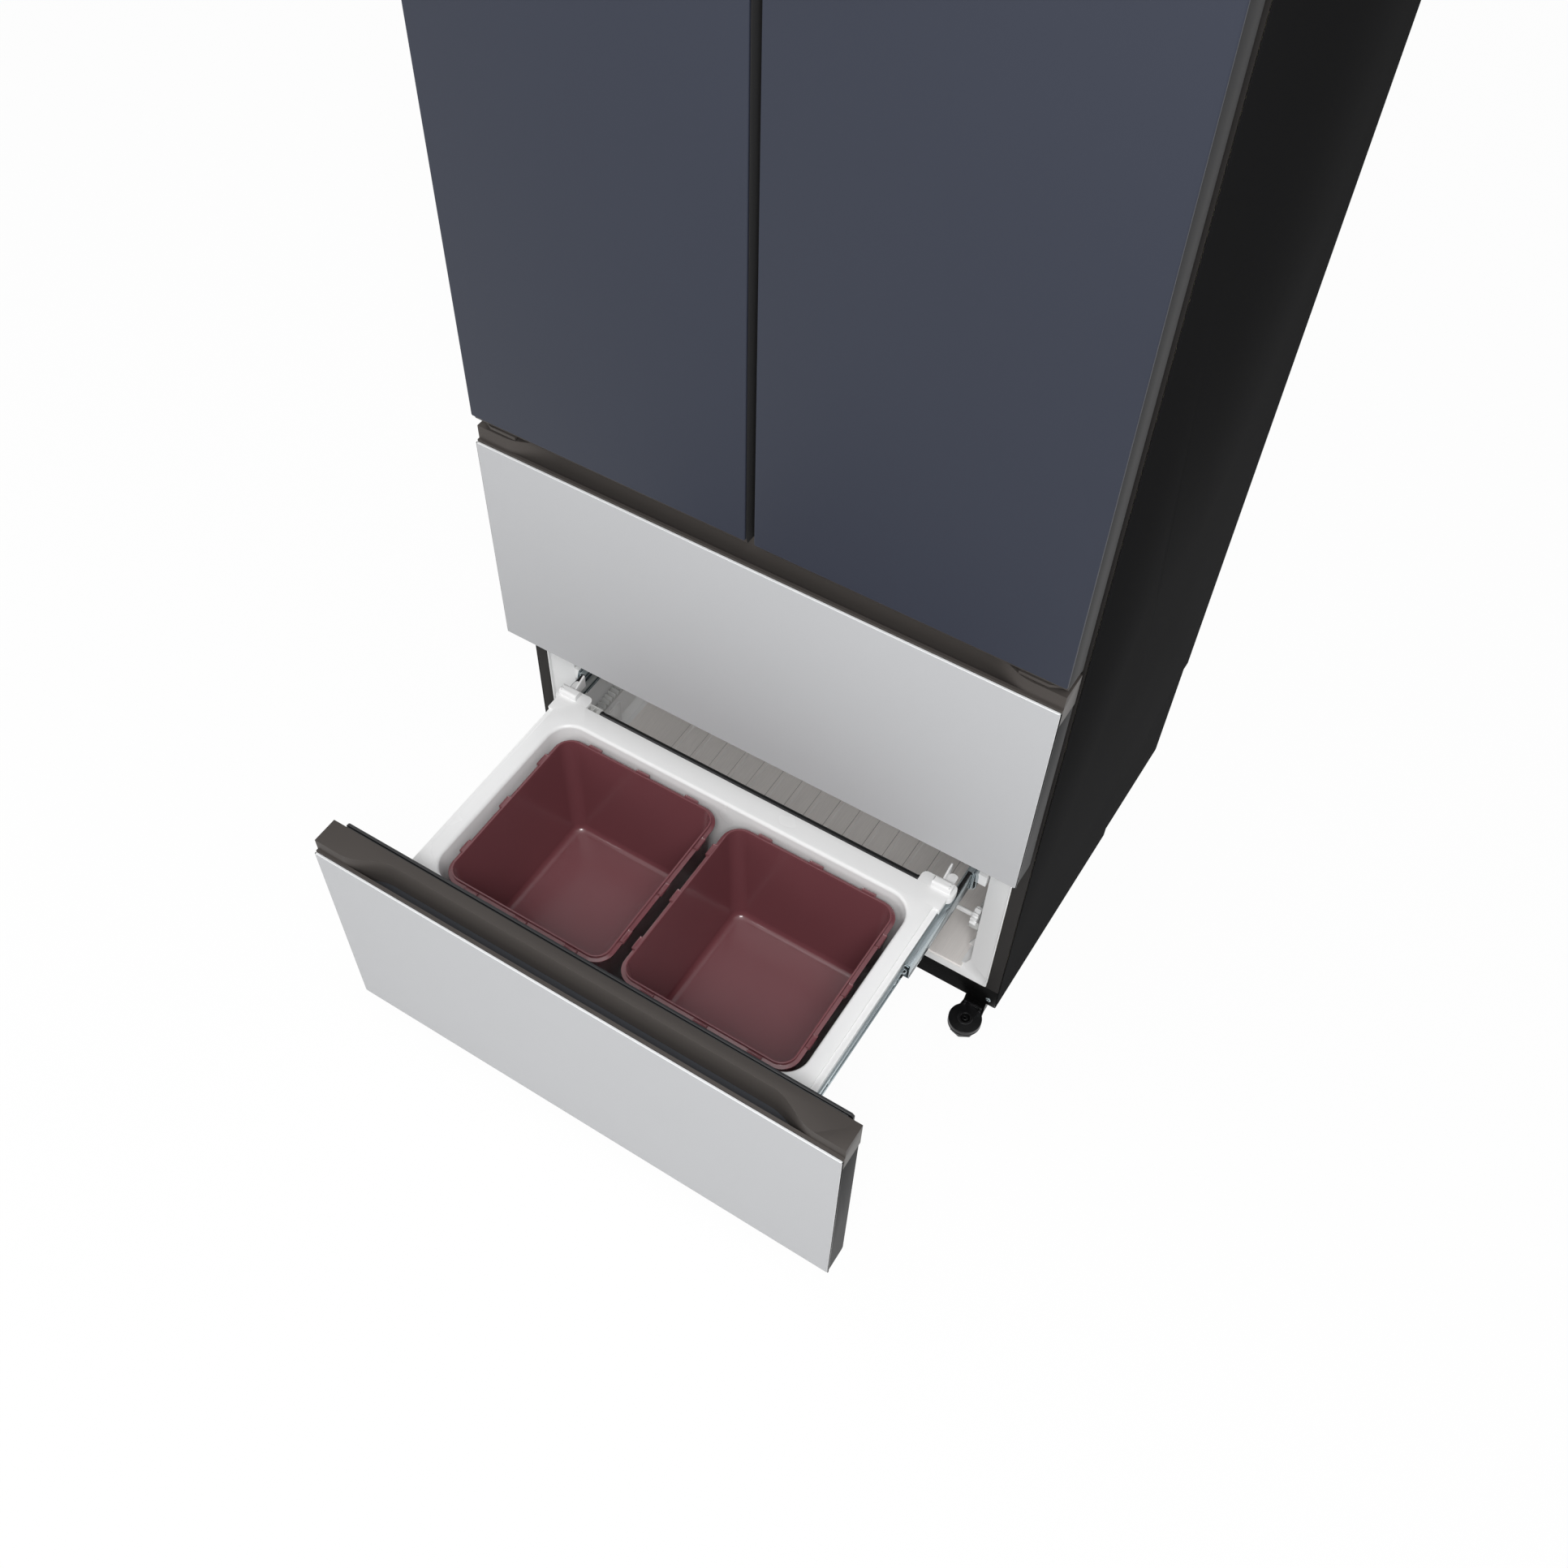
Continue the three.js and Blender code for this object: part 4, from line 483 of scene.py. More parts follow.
def moulded(name, base, roughness, grain=700, strength=0.08, share=0.025, **sockets):
    surface = Surface(name, base, roughness, 0.0, **sockets)
    surface.mottle(surface.noise(9, detail=3), share)
    surface.rough(surface.noise(12, detail=2), 0.02)
    surface.relief(surface.noise(grain, detail=1), strength, 0.0002)
    return surface


def make_finishes():
    colours = bpy.context.scene.refrigerator_colours
    # Roughness comes first after the colour. Then brushed steel has the stretch of its lines, metallic,
    # the share its colour varies by and the relief. A moulded plastic has grain, relief and that share.
    made = (
        satin_paint("door_navy", colours.doors, 0.46, share=0.02, Specular_IOR_Level=0.15),
        satin_paint("drawer_grey", colours.drawers, 0.50, share=0.008, Specular_IOR_Level=0.2),
        satin_paint("trim", colours.trim, 0.36, metallic=0.25, share=0.03, Specular_IOR_Level=0.06),
        satin_paint("case", colours.case, 0.32, share=0.02, Specular_IOR_Level=0.0001),
        satin_paint("base_black", (0.003, 0.003, 0.003), 0.26, share=0.02, Specular_IOR_Level=0.04),
        moulded("inner_white", colours.white, 0.36, 500, 0.01, 0.006),
        moulded("white_plastic", colours.white, 0.26, 900, 0.008, 0.005),
        brushed("floor_steel", colours.floor_plate, 0.40, (18, 0.4, 18), 0.2, 0.05),
        brushed("zinc", (0.40, 0.45, 0.47), 0.20, (6, 0.25, 14), 0.95, 0.06, 0.02),
        satin_paint("frame_dark", (0.030, 0.028, 0.027), 0.40, share=0.03, Specular_IOR_Level=0.04),
        # Dark paint of the drawers' front bodies, also laid on the door frames' sides as painted shade.
        satin_paint("body_dark", (0.040, 0.040, 0.041), 0.45, share=0.02, Specular_IOR_Level=0.03),
        # Lighter copy of the drawer paint: a painted highlight along the panels' top and side faces.
        moulded("panel_painted_highlight", (0.80, 0.81, 0.82), 0.30, 900, 0.01, 0.01),
        # Darker copy of the zinc: painted shade inside the slides' channels and grooves.
        satin_paint("slide_painted_shade", (0.045, 0.050, 0.053), 0.35, metallic=0.6, share=0.03),
        # Lit and shaded copies of the floor steel: painted highlight and painted shade on the ribs' two
        # sides.
        brushed("rib_painted_highlight", (0.92, 0.90, 0.88), 0.36, (18, 0.4, 18), 0.2, 0.04),
        brushed("rib_painted_shade", (0.34, 0.325, 0.31), 0.42, (18, 0.4, 18), 0.2, 0.04),
        # Lighter metallic copy of the trim: a painted highlight along the caps' pocket edges.
        satin_paint(
            "trim_painted_highlight", (0.26, 0.25, 0.24), 0.30, metallic=0.6, share=0.03, Specular_IOR_Level=0.2
        ),
        # Lighter copy of the foot's black: a painted highlight on the bevels of the foot covers.
        satin_paint("foot_painted_highlight", (0.11, 0.11, 0.115), 0.24, metallic=0.4, share=0.03),
        # Dark grey: painted shade in the floor of the wall slots.
        moulded("slot_painted_shade", (0.13, 0.13, 0.13), 0.5, 900, 0.02, 0.05),
        moulded("foot_black", (0.006, 0.006, 0.0065), 0.28, 700, 0.02, 0.02, Specular_IOR_Level=0.22),
        galvanised(),
        moulded("seal", (0.011, 0.0115, 0.013), 0.42, 1200, 0.08, 0.10),
        foam(),
        shelf_glass(),
        satin_paint("shell_black", (0.010, 0.010, 0.011), 0.32, 0.2),
        moulded("black_plastic", (0.010, 0.010, 0.010), 0.42, 600, 0.10, 0.1),
        moulded("pocket_pad", (0.040, 0.043, 0.050), 0.50, 900, 0.10, 0.04),
        moulded("gear_grey", (0.50, 0.50, 0.49), 0.42, 900, 0.02, 0.02),
        container_plastic(),
    )
    return {surface.name: surface.material for surface in made}


def galvanised():
    surface = Surface("galvanised", (0.36, 0.37, 0.375), 0.42, 0.85)
    spangle = surface.add("ShaderNodeTexVoronoi")
    spangle.inputs["Scale"].default_value = 90
    surface.link(surface.place.outputs["Object"], spangle.inputs["Vector"])
    grey = surface.add("ShaderNodeRGBToBW")
    surface.link(spangle.outputs["Color"], grey.inputs["Color"])
    surface.mottle(grey.outputs["Val"], 0.14)
    surface.rough(grey.outputs["Val"], 0.08)
    return surface


def foam():
    surface = Surface("foam", (0.78, 0.68, 0.40), 0.85)
    cells = surface.noise(300, detail=5)
    surface.mottle(cells, 0.12)
    surface.relief(cells, 0.5, 0.001)
    return surface


def shelf_glass():
    surface = Surface("shelf_glass", (0.80, 0.93, 0.89), 0.04, 0.0, Transmission_Weight=0.9, IOR=1.5)
    surface.mottle(surface.noise(5, detail=1), 0.03)
    surface.relief(surface.noise(30, detail=2), 0.02, 0.0002)
    return surface


def container_plastic():
    colours = bpy.context.scene.refrigerator_colours
    surface = Surface(
        "container_red", colours.container, 0.20, 0.0, Transmission_Weight=0.12, IOR=1.49,
        Coat_Weight=0.3, Coat_Roughness=0.1,
    )
    surface.mottle(surface.noise(7, detail=2), 0.05)
    surface.rough(surface.noise(60), 0.04)
    surface.relief(surface.noise(350, detail=3), 0.03, 0.0002)
    return surface


FINISHES = {}


def finish_of(look):
    if not FINISHES:
        FINISHES.update(make_finishes())
    return FINISHES[look]


# --- pieces


def handle_cap(name, front, panel_top):
    """Cap along the top of a drawer front, with a waved finger pocket behind a low lip."""
    sizes = bpy.context.scene.refrigerator_sizes
    face, floor, top = front + 0.0085, panel_top - 0.022, panel_top + CAP_RISE
    cap = box(name, (-PANEL_HALF, PANEL_HALF), (face, front + 0.052), (floor - 0.008, top))
    back = face + sizes.pocket_depth
    pocket = box("pocket", (-sizes.pocket_end, sizes.pocket_end), (front - 0.02, back), (floor, top + 0.02))
    steps = 18
    run = sizes.pocket_end - sizes.pocket_half
    for side in (-1, 1):
        for i in range(1, steps + 1):
            slice_at(pocket, (side * (sizes.pocket_end - run * i / steps), 0, 0), (1, 0, 0))
    for side in (-1, 1):
        for i in range(steps):
            x = side * (sizes.pocket_end - run * i / steps)
            wave = 0.999 * sizes.pocket_depth * (0.5 + 0.5 * math.cos(math.pi * i / steps))
            shift(pocket, lambda co: near(co.x, x) and near(co.y, back), (0, -wave, 0))
    pick(pocket, "VERT", lambda co: near(co.z, floor) and co.y > face - 0.001)
    bpy.ops.transform.resize(value=(1, 0.684, 1), center_override=(0, face, floor))
    done(pocket)
    pad = copy_of(pocket, f"{name}_pad", (0, -0.0004, 0.0001))
    cut_past(pad, (0, 0, floor + 0.0014), (0, 0, 1))
    soften(cut_past(pad, (0, face + 0.0006, 0), (0, -1, 0)), 0.0005, 2)
    cut_out(cap, pocket)
    lip_y, lip_z = (front + 0.0043, front + 0.009), (floor - 0.008, panel_top + 0.003)
    combine(cap, box("lip", (-PANEL_HALF, PANEL_HALF), lip_y, lip_z))
    return soften(cap, sizes.soft_edge, 3, 50, 40), pad


def container(name, x, y, bottom, top):
    """Open tub with an upright lip, a beaded flange and locking lugs."""
    wall = bpy.context.scene.refrigerator_sizes.container_wall
    flange = 0.008
    x, y = sorted(x), sorted(y)
    tub = box(name, (x[0] + flange, x[1] - flange), (y[0] + flange, y[1] - flange), (bottom, top))
    round_edges(tub, upright, 0.026, 10)
    pull_out(tub, faces_up, (0, 0, bottom + wall - top), wall)
    done(tub)
    taper(tub, bottom + wall, 0.013, 0.013)
    taper(tub, bottom, 0.013, 0.013)
    for level, radius in ((bottom + wall, 0.012), (bottom, 0.014)):
        round_edges(tub, lambda a, b: near(a.z, level) and near(b.z, level), radius, 4)
    low, high = top - 0.0092, top - 0.0064
    for level in (low, high):
        slice_at(tub, (0, 0, level), (0, 0, 1))
    middle = Vector((sum(x) / 2, sum(y) / 2, 0))

    def outer_band(centre, normal):
        return low < centre.z < high and normal.dot((centre - middle) * Vector((1, 1, 0))) > 0

    pick(tub, "FACE", outer_band)
    bpy.ops.mesh.extrude_region_shrink_fatten(TRANSFORM_OT_shrink_fatten={"value": 0.0062})
    done(tub)
    under_flange = lambda centre, normal: normal.z < -0.9 and near(centre.z, low, 2e-4)
    pull_out(tub, under_flange, (0, 0, -0.0045), 0.0016)
    done(tub)
    lugs, half, reach = [], 0.012, 0.0075
    for share in (0.2, 0.5, 0.8):
        cx, cy = (a + share * (b - a) for a, b in (x, y))
        along_x, along_y = (cx - half, cx + half), (cy - half, cy + half)
        for a, b in (
            (along_x, (y[0], y[0] + reach)), (along_x, (y[1] - reach, y[1])),
            ((x[0], x[0] + reach), along_y), ((x[1] - reach, x[1]), along_y),
        ):
            lug = box("lug", a, b, (top - 0.0088, top - 0.0032))
            sink(lug, faces_up, 0.0014, (0, 0, -0.0018))
            lugs.append(soften(lug, 0.0006, 2))
    return join(soften(tub, 0.0006), *lugs)


def corner_crown(side, at, rim):
    """Raised grip over a rear corner, and the fin and tongue behind it."""
    top = rim + 0.0115
    crown = box("crown", (side * 0.328, side * 0.3605), (at(0.4785), at(0.4945)), (rim - 0.002, top))
    round_edges(crown, lambda a, b: near(a.z, b.z) and a.z > rim + 0.009 and near(a.y, b.y), 0.0050, 5)
    taper(crown, top, 0.0015, 0)
    for k in range(3):
        y = at(0.4805 + 0.0045 * k)
        slot = box("slot", (side * 0.3560, side * 0.3575), (y, y + 0.0028), (rim + 0.007, rim + 0.03))
        cut_out(crown, slot)
    fin = box("fin", (side * 0.3385, side * 0.3415), (at(0.494), at(0.5205)), (rim - 0.010, rim + 0.016))
    shift(fin, lambda co: co.z > rim and co.y < at(0.5), (0, 0, -0.010))
    low, high = rim - 0.010, rim - 0.0035
    tongue = box("tongue", (side * 0.3415, side * 0.3555), (at(0.494), at(0.518)), (low, high))
    round_edges(tongue, lambda a, b: upright(a, b) and a.y > at(0.5), 0.005, 4)
    return crown, fin, tongue


def shaft_carrier(name, side, front, rim):
    """Gusset with a bearing boss, from a rear block of the bin down to the cross shaft."""
    y, z = front + SHAFT_BACK, rim - SHAFT_DROP
    low, middle = rim - 0.070, front + 0.480
    arm = box(name, (side * 0.330, side * 0.336), (middle - 0.017, middle + 0.017), (low, rim - 0.010))
    pull_out(arm, lambda centre, normal: normal.z < -0.9, (0, y - middle, z - low))
    bpy.ops.transform.resize(value=(1, 0.5, 1), center_override=(side * 0.333, y, z))
    done(arm)
    combine(arm, rod("boss", 0.010, (side * 0.327, y, z), (side * 0.340, y, z), 36))
    cut_out(arm, rod("bore", 0.0043, (side * 0.320, y, z), (side * 0.346, y, z), 24))
    return soften(arm, 0.0006, 2, 40)


def drawer_slide(name, side, front, z):
    """Inner member of a slide: a channel clipped to the bin's skirt, open towards the cabinet, its web
    painted dark as shade.
    """
    start, long = front + 0.075, 0.5
    rail = box(name, (side * 0.3554, side * 0.3596), (start, start + long), (z - 0.0095, z + 0.0095))
    hollow_y = (start - 0.005, start + long + 0.005)
    cut_out(rail, box("hollow", (side * 0.3566, side * 0.3606), hollow_y, (z - 0.0084, z + 0.0084)))
    for share in (0.12, 0.5, 0.88):
        y = start + long * share
        combine(rail, rod("rivet", 0.0035, (side * 0.3556, y, z), (side * 0.3586, y, z), 20))
    soften(rail, 0.0004, 2, 40)
    # The web inside the channel is painted dark as shade.
    web = lambda centre, normal: side * normal.x > 0.9 and side * centre.x < 0.3580
    return second_finish(rail, "slide_painted_shade", web)


def middle_member(node, side):
    """Middle member of a slide, with two grooves along its upper face, painted dark inside as shade."""
    low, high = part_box(node)
    top, slack = high[2], 0.0001
    member = from_solid(node)
    grooves = ((0.3582, 0.3596), (0.3636, 0.3650))
    for a, b in grooves:
        y = (low[1] - 0.01, high[1] + 0.01)
        cut_out(member, box("groove", (side * a, side * b), y, (top - 0.0008, top + 0.01)))
    soften(member, 0.0003)

    def in_shaded_groove(centre, normal):
        across = any(a - slack < abs(centre.x) < b + slack for a, b in grooves)
        return across and top - 0.0009 < centre.z < top - slack

    # The grooves' insides are painted dark as shade.
    second_finish(member, "slide_painted_shade", in_shaded_groove)
    return finish(member, "zinc", body_of(node), node)


def latch(name, side, front, z):
    """Sprung hook curled in an S at the front end of a middle member."""
    parts, x = [], side * 0.3615
    for i, (dy, way) in enumerate(((0.1085, 1), (0.1010, -1))):
        centre = (x, front + dy, z + 0.0155)
        bpy.ops.object.select_all(action="DESELECT")
        bpy.ops.mesh.primitive_torus_add(
            location=centre, major_radius=0.0038, minor_radius=0.0009, major_segments=32, minor_segments=10
        )
        ring = bpy.context.object
        ring.name = ring.data.name = f"{name}_curl_{i}"
        bpy.ops.object.transform_apply(location=True, rotation=True, scale=True)
        pick(ring, "VERT", lambda co: True)
        bpy.ops.transform.resize(value=(1, 1, 2.2), center_override=centre)
        done(ring)
        parts.append(cut_past(ring, (x, 0, 0), (side * way, 0, 0)))
    foot_y, foot_z = (front + 0.111, front + 0.126), (z + 0.0135, z + 0.0160)
    foot = box(f"{name}_foot", (side * 0.3590, side * 0.3640), foot_y, foot_z)
    join(foot, *parts)
    foot.name = foot.data.name = name
    return shade(foot)


def ball_cage(name, side, front, z, way):
    """Strip that holds the balls between the outer and middle members."""
    low, high = sorted((z + way * 0.0182, z + way * 0.0192))
    cage = box(name, (side * 0.3590, side * 0.3650), (front + 0.262, front + 0.338), (low, high))
    low, high = sorted((z + way * 0.0188, z + way * 0.0212))
    rung = box("rung", (side * 0.3592, side * 0.3648), (front + 0.2630, front + 0.2644), (low, high))
    modify(rung, "ARRAY", count=23, use_relative_offset=False, use_constant_offset=True,
           constant_offset_displace=(0, 0.0032, 0))
    return soften(join(cage, rung), 0.00025, 1)


def rail_bracket(name, side, front, z):
    """Folded plate that ties the front of an outer member to the room's wall."""
    plate_y, plate_z = (front + 0.0650, front + 0.098), (z - 0.0225, z + 0.0235)
    plate = box(name, (side * 0.3704, side * 0.3716), plate_y, plate_z)
    for level in (z - 0.012, z + 0.004):
        slice_at(plate, (0, 0, level), (0, 0, 1))
    fold = lambda co: co.y < front + 0.066 and z - 0.013 < co.z < z + 0.005
    shift(plate, fold, (side * 0.0042, -0.0008, 0))
    edge_y, edge_z = (front + 0.0655, front + 0.0975), (z - 0.0215, z + 0.0225)
    join(plate, box("edge", (side * 0.3690, side * 0.3704), edge_y, edge_z))
    return soften(plate, 0.0004)


def foot_cover(name, side):
    """Round end of a foot's arm: a grooved disc with a well for the stud, and the fold of its neck."""
    x, y = side * 0.4205, FRONT + 0.0264
    cover = rod(name, 0.0282, (x, y, 0.0206), (x, y, 0.0284), 64)
    combine(cover, rod("waist", 0.0270, (x, y, 0.0176), (x, y, 0.0210), 64),
            rod("brim", 0.0282, (x, y, 0.0157), (x, y, 0.0180), 64),
            rod("boss", 0.0125, (x, y, 0.0280), (x, y, 0.0290), 48))
    cut_out(cover, rod("well", 0.0086, (x, y, 0.0150), (x, y, 0.0300), 40))
    fold = box("fold", (x - 0.0160, x + 0.0160), (FRONT + 0.0535, FRONT + 0.0565), (0.0270, 0.0318))
    combine(cover, fold)
    for middle in (x - 0.0142, x + 0.0142):
        tab_y = (FRONT + 0.0480, FRONT + 0.0540)
        combine(cover, box("tab", (middle - 0.0018, middle + 0.0018), tab_y, (0.0270, 0.0302)))
    return soften(cover, 0.0007, 3, 40)


def rear_bar(name, front, rim):
    """Black bar that stiffens the bin's rear edge, with a collar at each end."""
    y, z = front + 0.4826, rim - 0.0062
    bar = rod(name, 0.0056, (-0.281, y, z), (0.3065, y, z), 28)
    for x in (-0.2795, 0.3035):
        combine(bar, rod("collar", 0.0063, (x - 0.0015, y, z), (x + 0.0015, y, z), 28))
    groove_y, groove_z = (y - 0.0006, y + 0.0006), (z + 0.0048, z + 0.008)
    cut_out(bar, box("groove", (-0.277, 0.301), groove_y, groove_z))
    return soften(bar, 0.0003, 2, 40)


def bar_clip(name, front, rim):
    """Open grey clip that holds the bar's left end."""
    clip = box(name, (-0.3065, -0.2805), (front + 0.4765, front + 0.4905), (rim - 0.016, rim - 0.0025))
    for a, b in ((-0.3045, -0.2965), (-0.2945, -0.2885)):
        cut_out(clip, box("window", (a, b), (front + 0.4785, front + 0.4885), (rim - 0.013, rim + 0.01)))
    return soften(clip, 0.0006, 2, 40)


def panel_edging(name, front, bottom, top):
    """Dark bead that borders a front panel along its sides and lower edge."""
    outer, inner = PANEL_HALF + 0.0011, PANEL_HALF - 0.002
    bead = box(name, (-outer, outer), (front + 0.0013, front + 0.0039), (bottom - 0.0011, top))
    cut_out(bead, box("inside", (-inner, inner), (front, front + 0.006), (bottom + 0.002, top + 0.01)))
    return soften(bead, 0.0004)


def mouth_flange(name, bottom, top):
    """Thin white edge round the mouth of a drawer room."""
    outer, inner, edge = 0.4316, 0.4300, 0.0014
    flange_y, flange_z = (FRAME_FACE - 0.00025, FRAME_FACE + 0.0006), (bottom - edge, top + edge)
    flange = box(name, (-outer, outer), flange_y, flange_z)
    round_edges(flange, lambda a, b: near(a.x, b.x) and near(a.z, b.z), 0.004, 4)
    hole = box("hole", (-inner, inner), (FRAME_FACE - 0.01, FRAME_FACE + 0.01), (bottom, top))
    round_edges(hole, lambda a, b: near(a.x, b.x) and near(a.z, b.z), 0.014, 8)
    return shade(cut_out(flange, hole))


def wall_gusset(name, side, far, top):
    """Moulded gusset on a room's side wall, drawn to a point at its front."""
    rear = FRONT + far
    gusset = box(name, (side * WALL, side * 0.3868), (rear - 0.034, rear), (top - 0.056, top))
    shift(gusset, lambda co: co.y < rear - 0.02 and co.z < top - 0.02, (0, 0, 0.0535))
    return soften(gusset, 0.0006)


def wall_slot(name, side):
    """Oval recess in a room's side wall, inside a raised rim, its floor painted dark as shade."""
    y, z = FRONT + 0.1751, 0.1902
    slot = rod(name, 0.0072, (side * WALL, y, z), (side * 0.3878, y, z), 40)
    sink(slot, lambda centre, normal: side * normal.x < -0.9, 0.0012, (side * 0.0016, 0, 0))
    pick(slot, "VERT", lambda co: True)
    bpy.ops.transform.resize(value=(1, 1, 0.72), center_override=(side * 0.389, y, z))
    done(slot)
    bottom = lambda centre, normal: side * normal.x < -0.9 and abs(centre.x) > 0.3885
    # The recess's floor is painted dark as shade.
    return second_finish(shade(slot), "slot_painted_shade", bottom)


def floor_sheet(name, floor, rear):
    """Floor plate from wall to wall with pressed ribs and a hem at the front; the ribs' sides are painted
    as highlight and shade.
    """
    half, front, top = 0.3800, FRONT + 0.0680, floor + 0.0038
    foot, crest, height, pitch = 0.0045, 0.0033, 0.0016, 0.0400
    ribs = [k * pitch + 0.004 for k in range(-7, 8)]
    sheet = box(name, (-half, half), (front, rear), (floor + 0.0004, top))
    for x in ribs:
        for dx in (-foot, -crest, crest, foot):
            slice_at(sheet, (x + dx, 0, 0), (1, 0, 0))
    on_crest = lambda co: near(co.z, top) and any(near(co.x, x, crest + 0.0002) for x in ribs)
    shift(sheet, on_crest, (0, 0, height))
    round_edges(sheet, lambda *ends: all(near(v.y, front) and v.z > top - 1e-5 for v in ends), 0.002, 3)
    soften(sheet, 0.0003, 2, 20, 15)
    # Rib sides facing right get a painted highlight, those facing left painted shade.
    for rib, way in (("rib_painted_highlight", 1), ("rib_painted_shade", -1)):
        second_finish(sheet, rib, lambda centre, normal: way * normal.x > 0.5 and abs(centre.x) < 0.37)
    return sheet


def screw_head(name, x, y, z):
    """Pan-head screw facing forward, with a cross recess."""
    head = rod(name, 0.0048, (x, y, z), (x, y - 0.0026, z), 36)
    sink(head, lambda centre, normal: normal.y < -0.9, 0.0014, (0, -0.0006, 0))
    for width, height in ((0.0046, 0.0011), (0.0011, 0.0046)):
        slot_x, slot_z = (x - width / 2, x + width / 2), (z - height / 2, z + height / 2)
        cut_out(head, box("slot", slot_x, (y - 0.006, y - 0.0018), slot_z))
    return soften(head, 0.0002, 2, 50, 50)


def drawer_bin(name, front, rim):
    """Tub with a flat rim on hanging skirts, and raised blocks at its rear corners."""

    def at(value):
        return front + value

    def level_at(z):
        return lambda a, b: near(a.z, z) and near(b.z, z)

    floor, inside = rim - BIN_DEPTH, rim - BIN_DEPTH + 0.003
    bin_piece = box(name, (-0.349, 0.349), (at(0.0726), at(0.477)), (rim - 0.005, rim))
    step = box("step", (-0.358, 0.358), (at(0.0726), at(0.477)), (rim - 0.009, rim - 0.004))
    tub = box("tub", (-0.329, 0.329), (at(0.089), at(0.442)), (floor, rim - 0.001))
    round_edges(tub, upright, 0.043, 10)
    taper(tub, floor, 0.014, 0.010)
    round_edges(tub, level_at(floor), 0.018, 5)
    lip = box("lip", (-0.306, 0.306), (at(0.474), at(0.477)), (rim - 0.026, rim - 0.004))
    combine(bin_piece, step, tub, lip)
    for side in (-1, 1):
        skirt_y, skirt_z = (at(0.0806), at(0.477)), (rim - 0.045, rim - 0.004)
        skirt = box("skirt", (side * 0.353, side * 0.3555), skirt_y, skirt_z)
        jog = box("jog", (side * 0.345, side * 0.353), (at(0.446), at(0.474)), (rim - 0.006, rim - 0.0002))
        shoulder = box("shoulder", (side * 0.306, side * 0.366), (at(0.470), at(0.499)), (rim - 0.014, rim))
        round_edges(shoulder, upright, 0.009, 6)
        web = box("web", (side * 0.322, side * 0.360), (at(0.447), at(0.476)), (rim - 0.012, rim))
        combine(bin_piece, skirt, jog, web, shoulder, *corner_crown(side, at, rim))
    cavity = box("cavity", (-0.326, 0.326), (at(0.092), at(0.439)), (inside, rim + 0.02))
    round_edges(cavity, upright, 0.040, 10)
    taper(cavity, inside, 0.015, 0.011)
    round_edges(cavity, level_at(inside), 0.018, 5)
    cut_out(bin_piece, cavity)

    def round_the_mouth(*ends):
        return all(
            near(v.z, rim) and abs(v.x) < 0.3262 and at(0.0918) < v.y < at(0.4392) for v in ends
        )

    round_edges(bin_piece, round_the_mouth, 0.0055, 5)
    return soften(bin_piece, 0.0016, 3, 40)


# --- operators


class REFRIGERATOR_OT_view(bpy.types.Operator):
    """Place the camera where the photograph was taken from"""

    bl_idname = "refrigerator.view"
    bl_label = "Camera"

    def execute(self, context):
        data = bpy.data.cameras.new("view")
        camera = bpy.data.objects.new("view", data)
        context.scene.collection.objects.link(camera)
        data.sensor_fit = "HORIZONTAL"
        data.sensor_width = 36
        data.lens = context.scene.refrigerator_sizes.camera_lens
        data.shift_x, data.shift_y = LENS_SHIFT
        data.clip_end = 100
        right, up = Vector(EYE_RIGHT), Vector(EYE_UP)
        turn = Matrix((right, up, right.cross(up))).transposed().to_4x4()
        camera.matrix_world = Matrix.Translation(EYE) @ turn
        context.scene.camera = camera
        return {"FINISHED"}


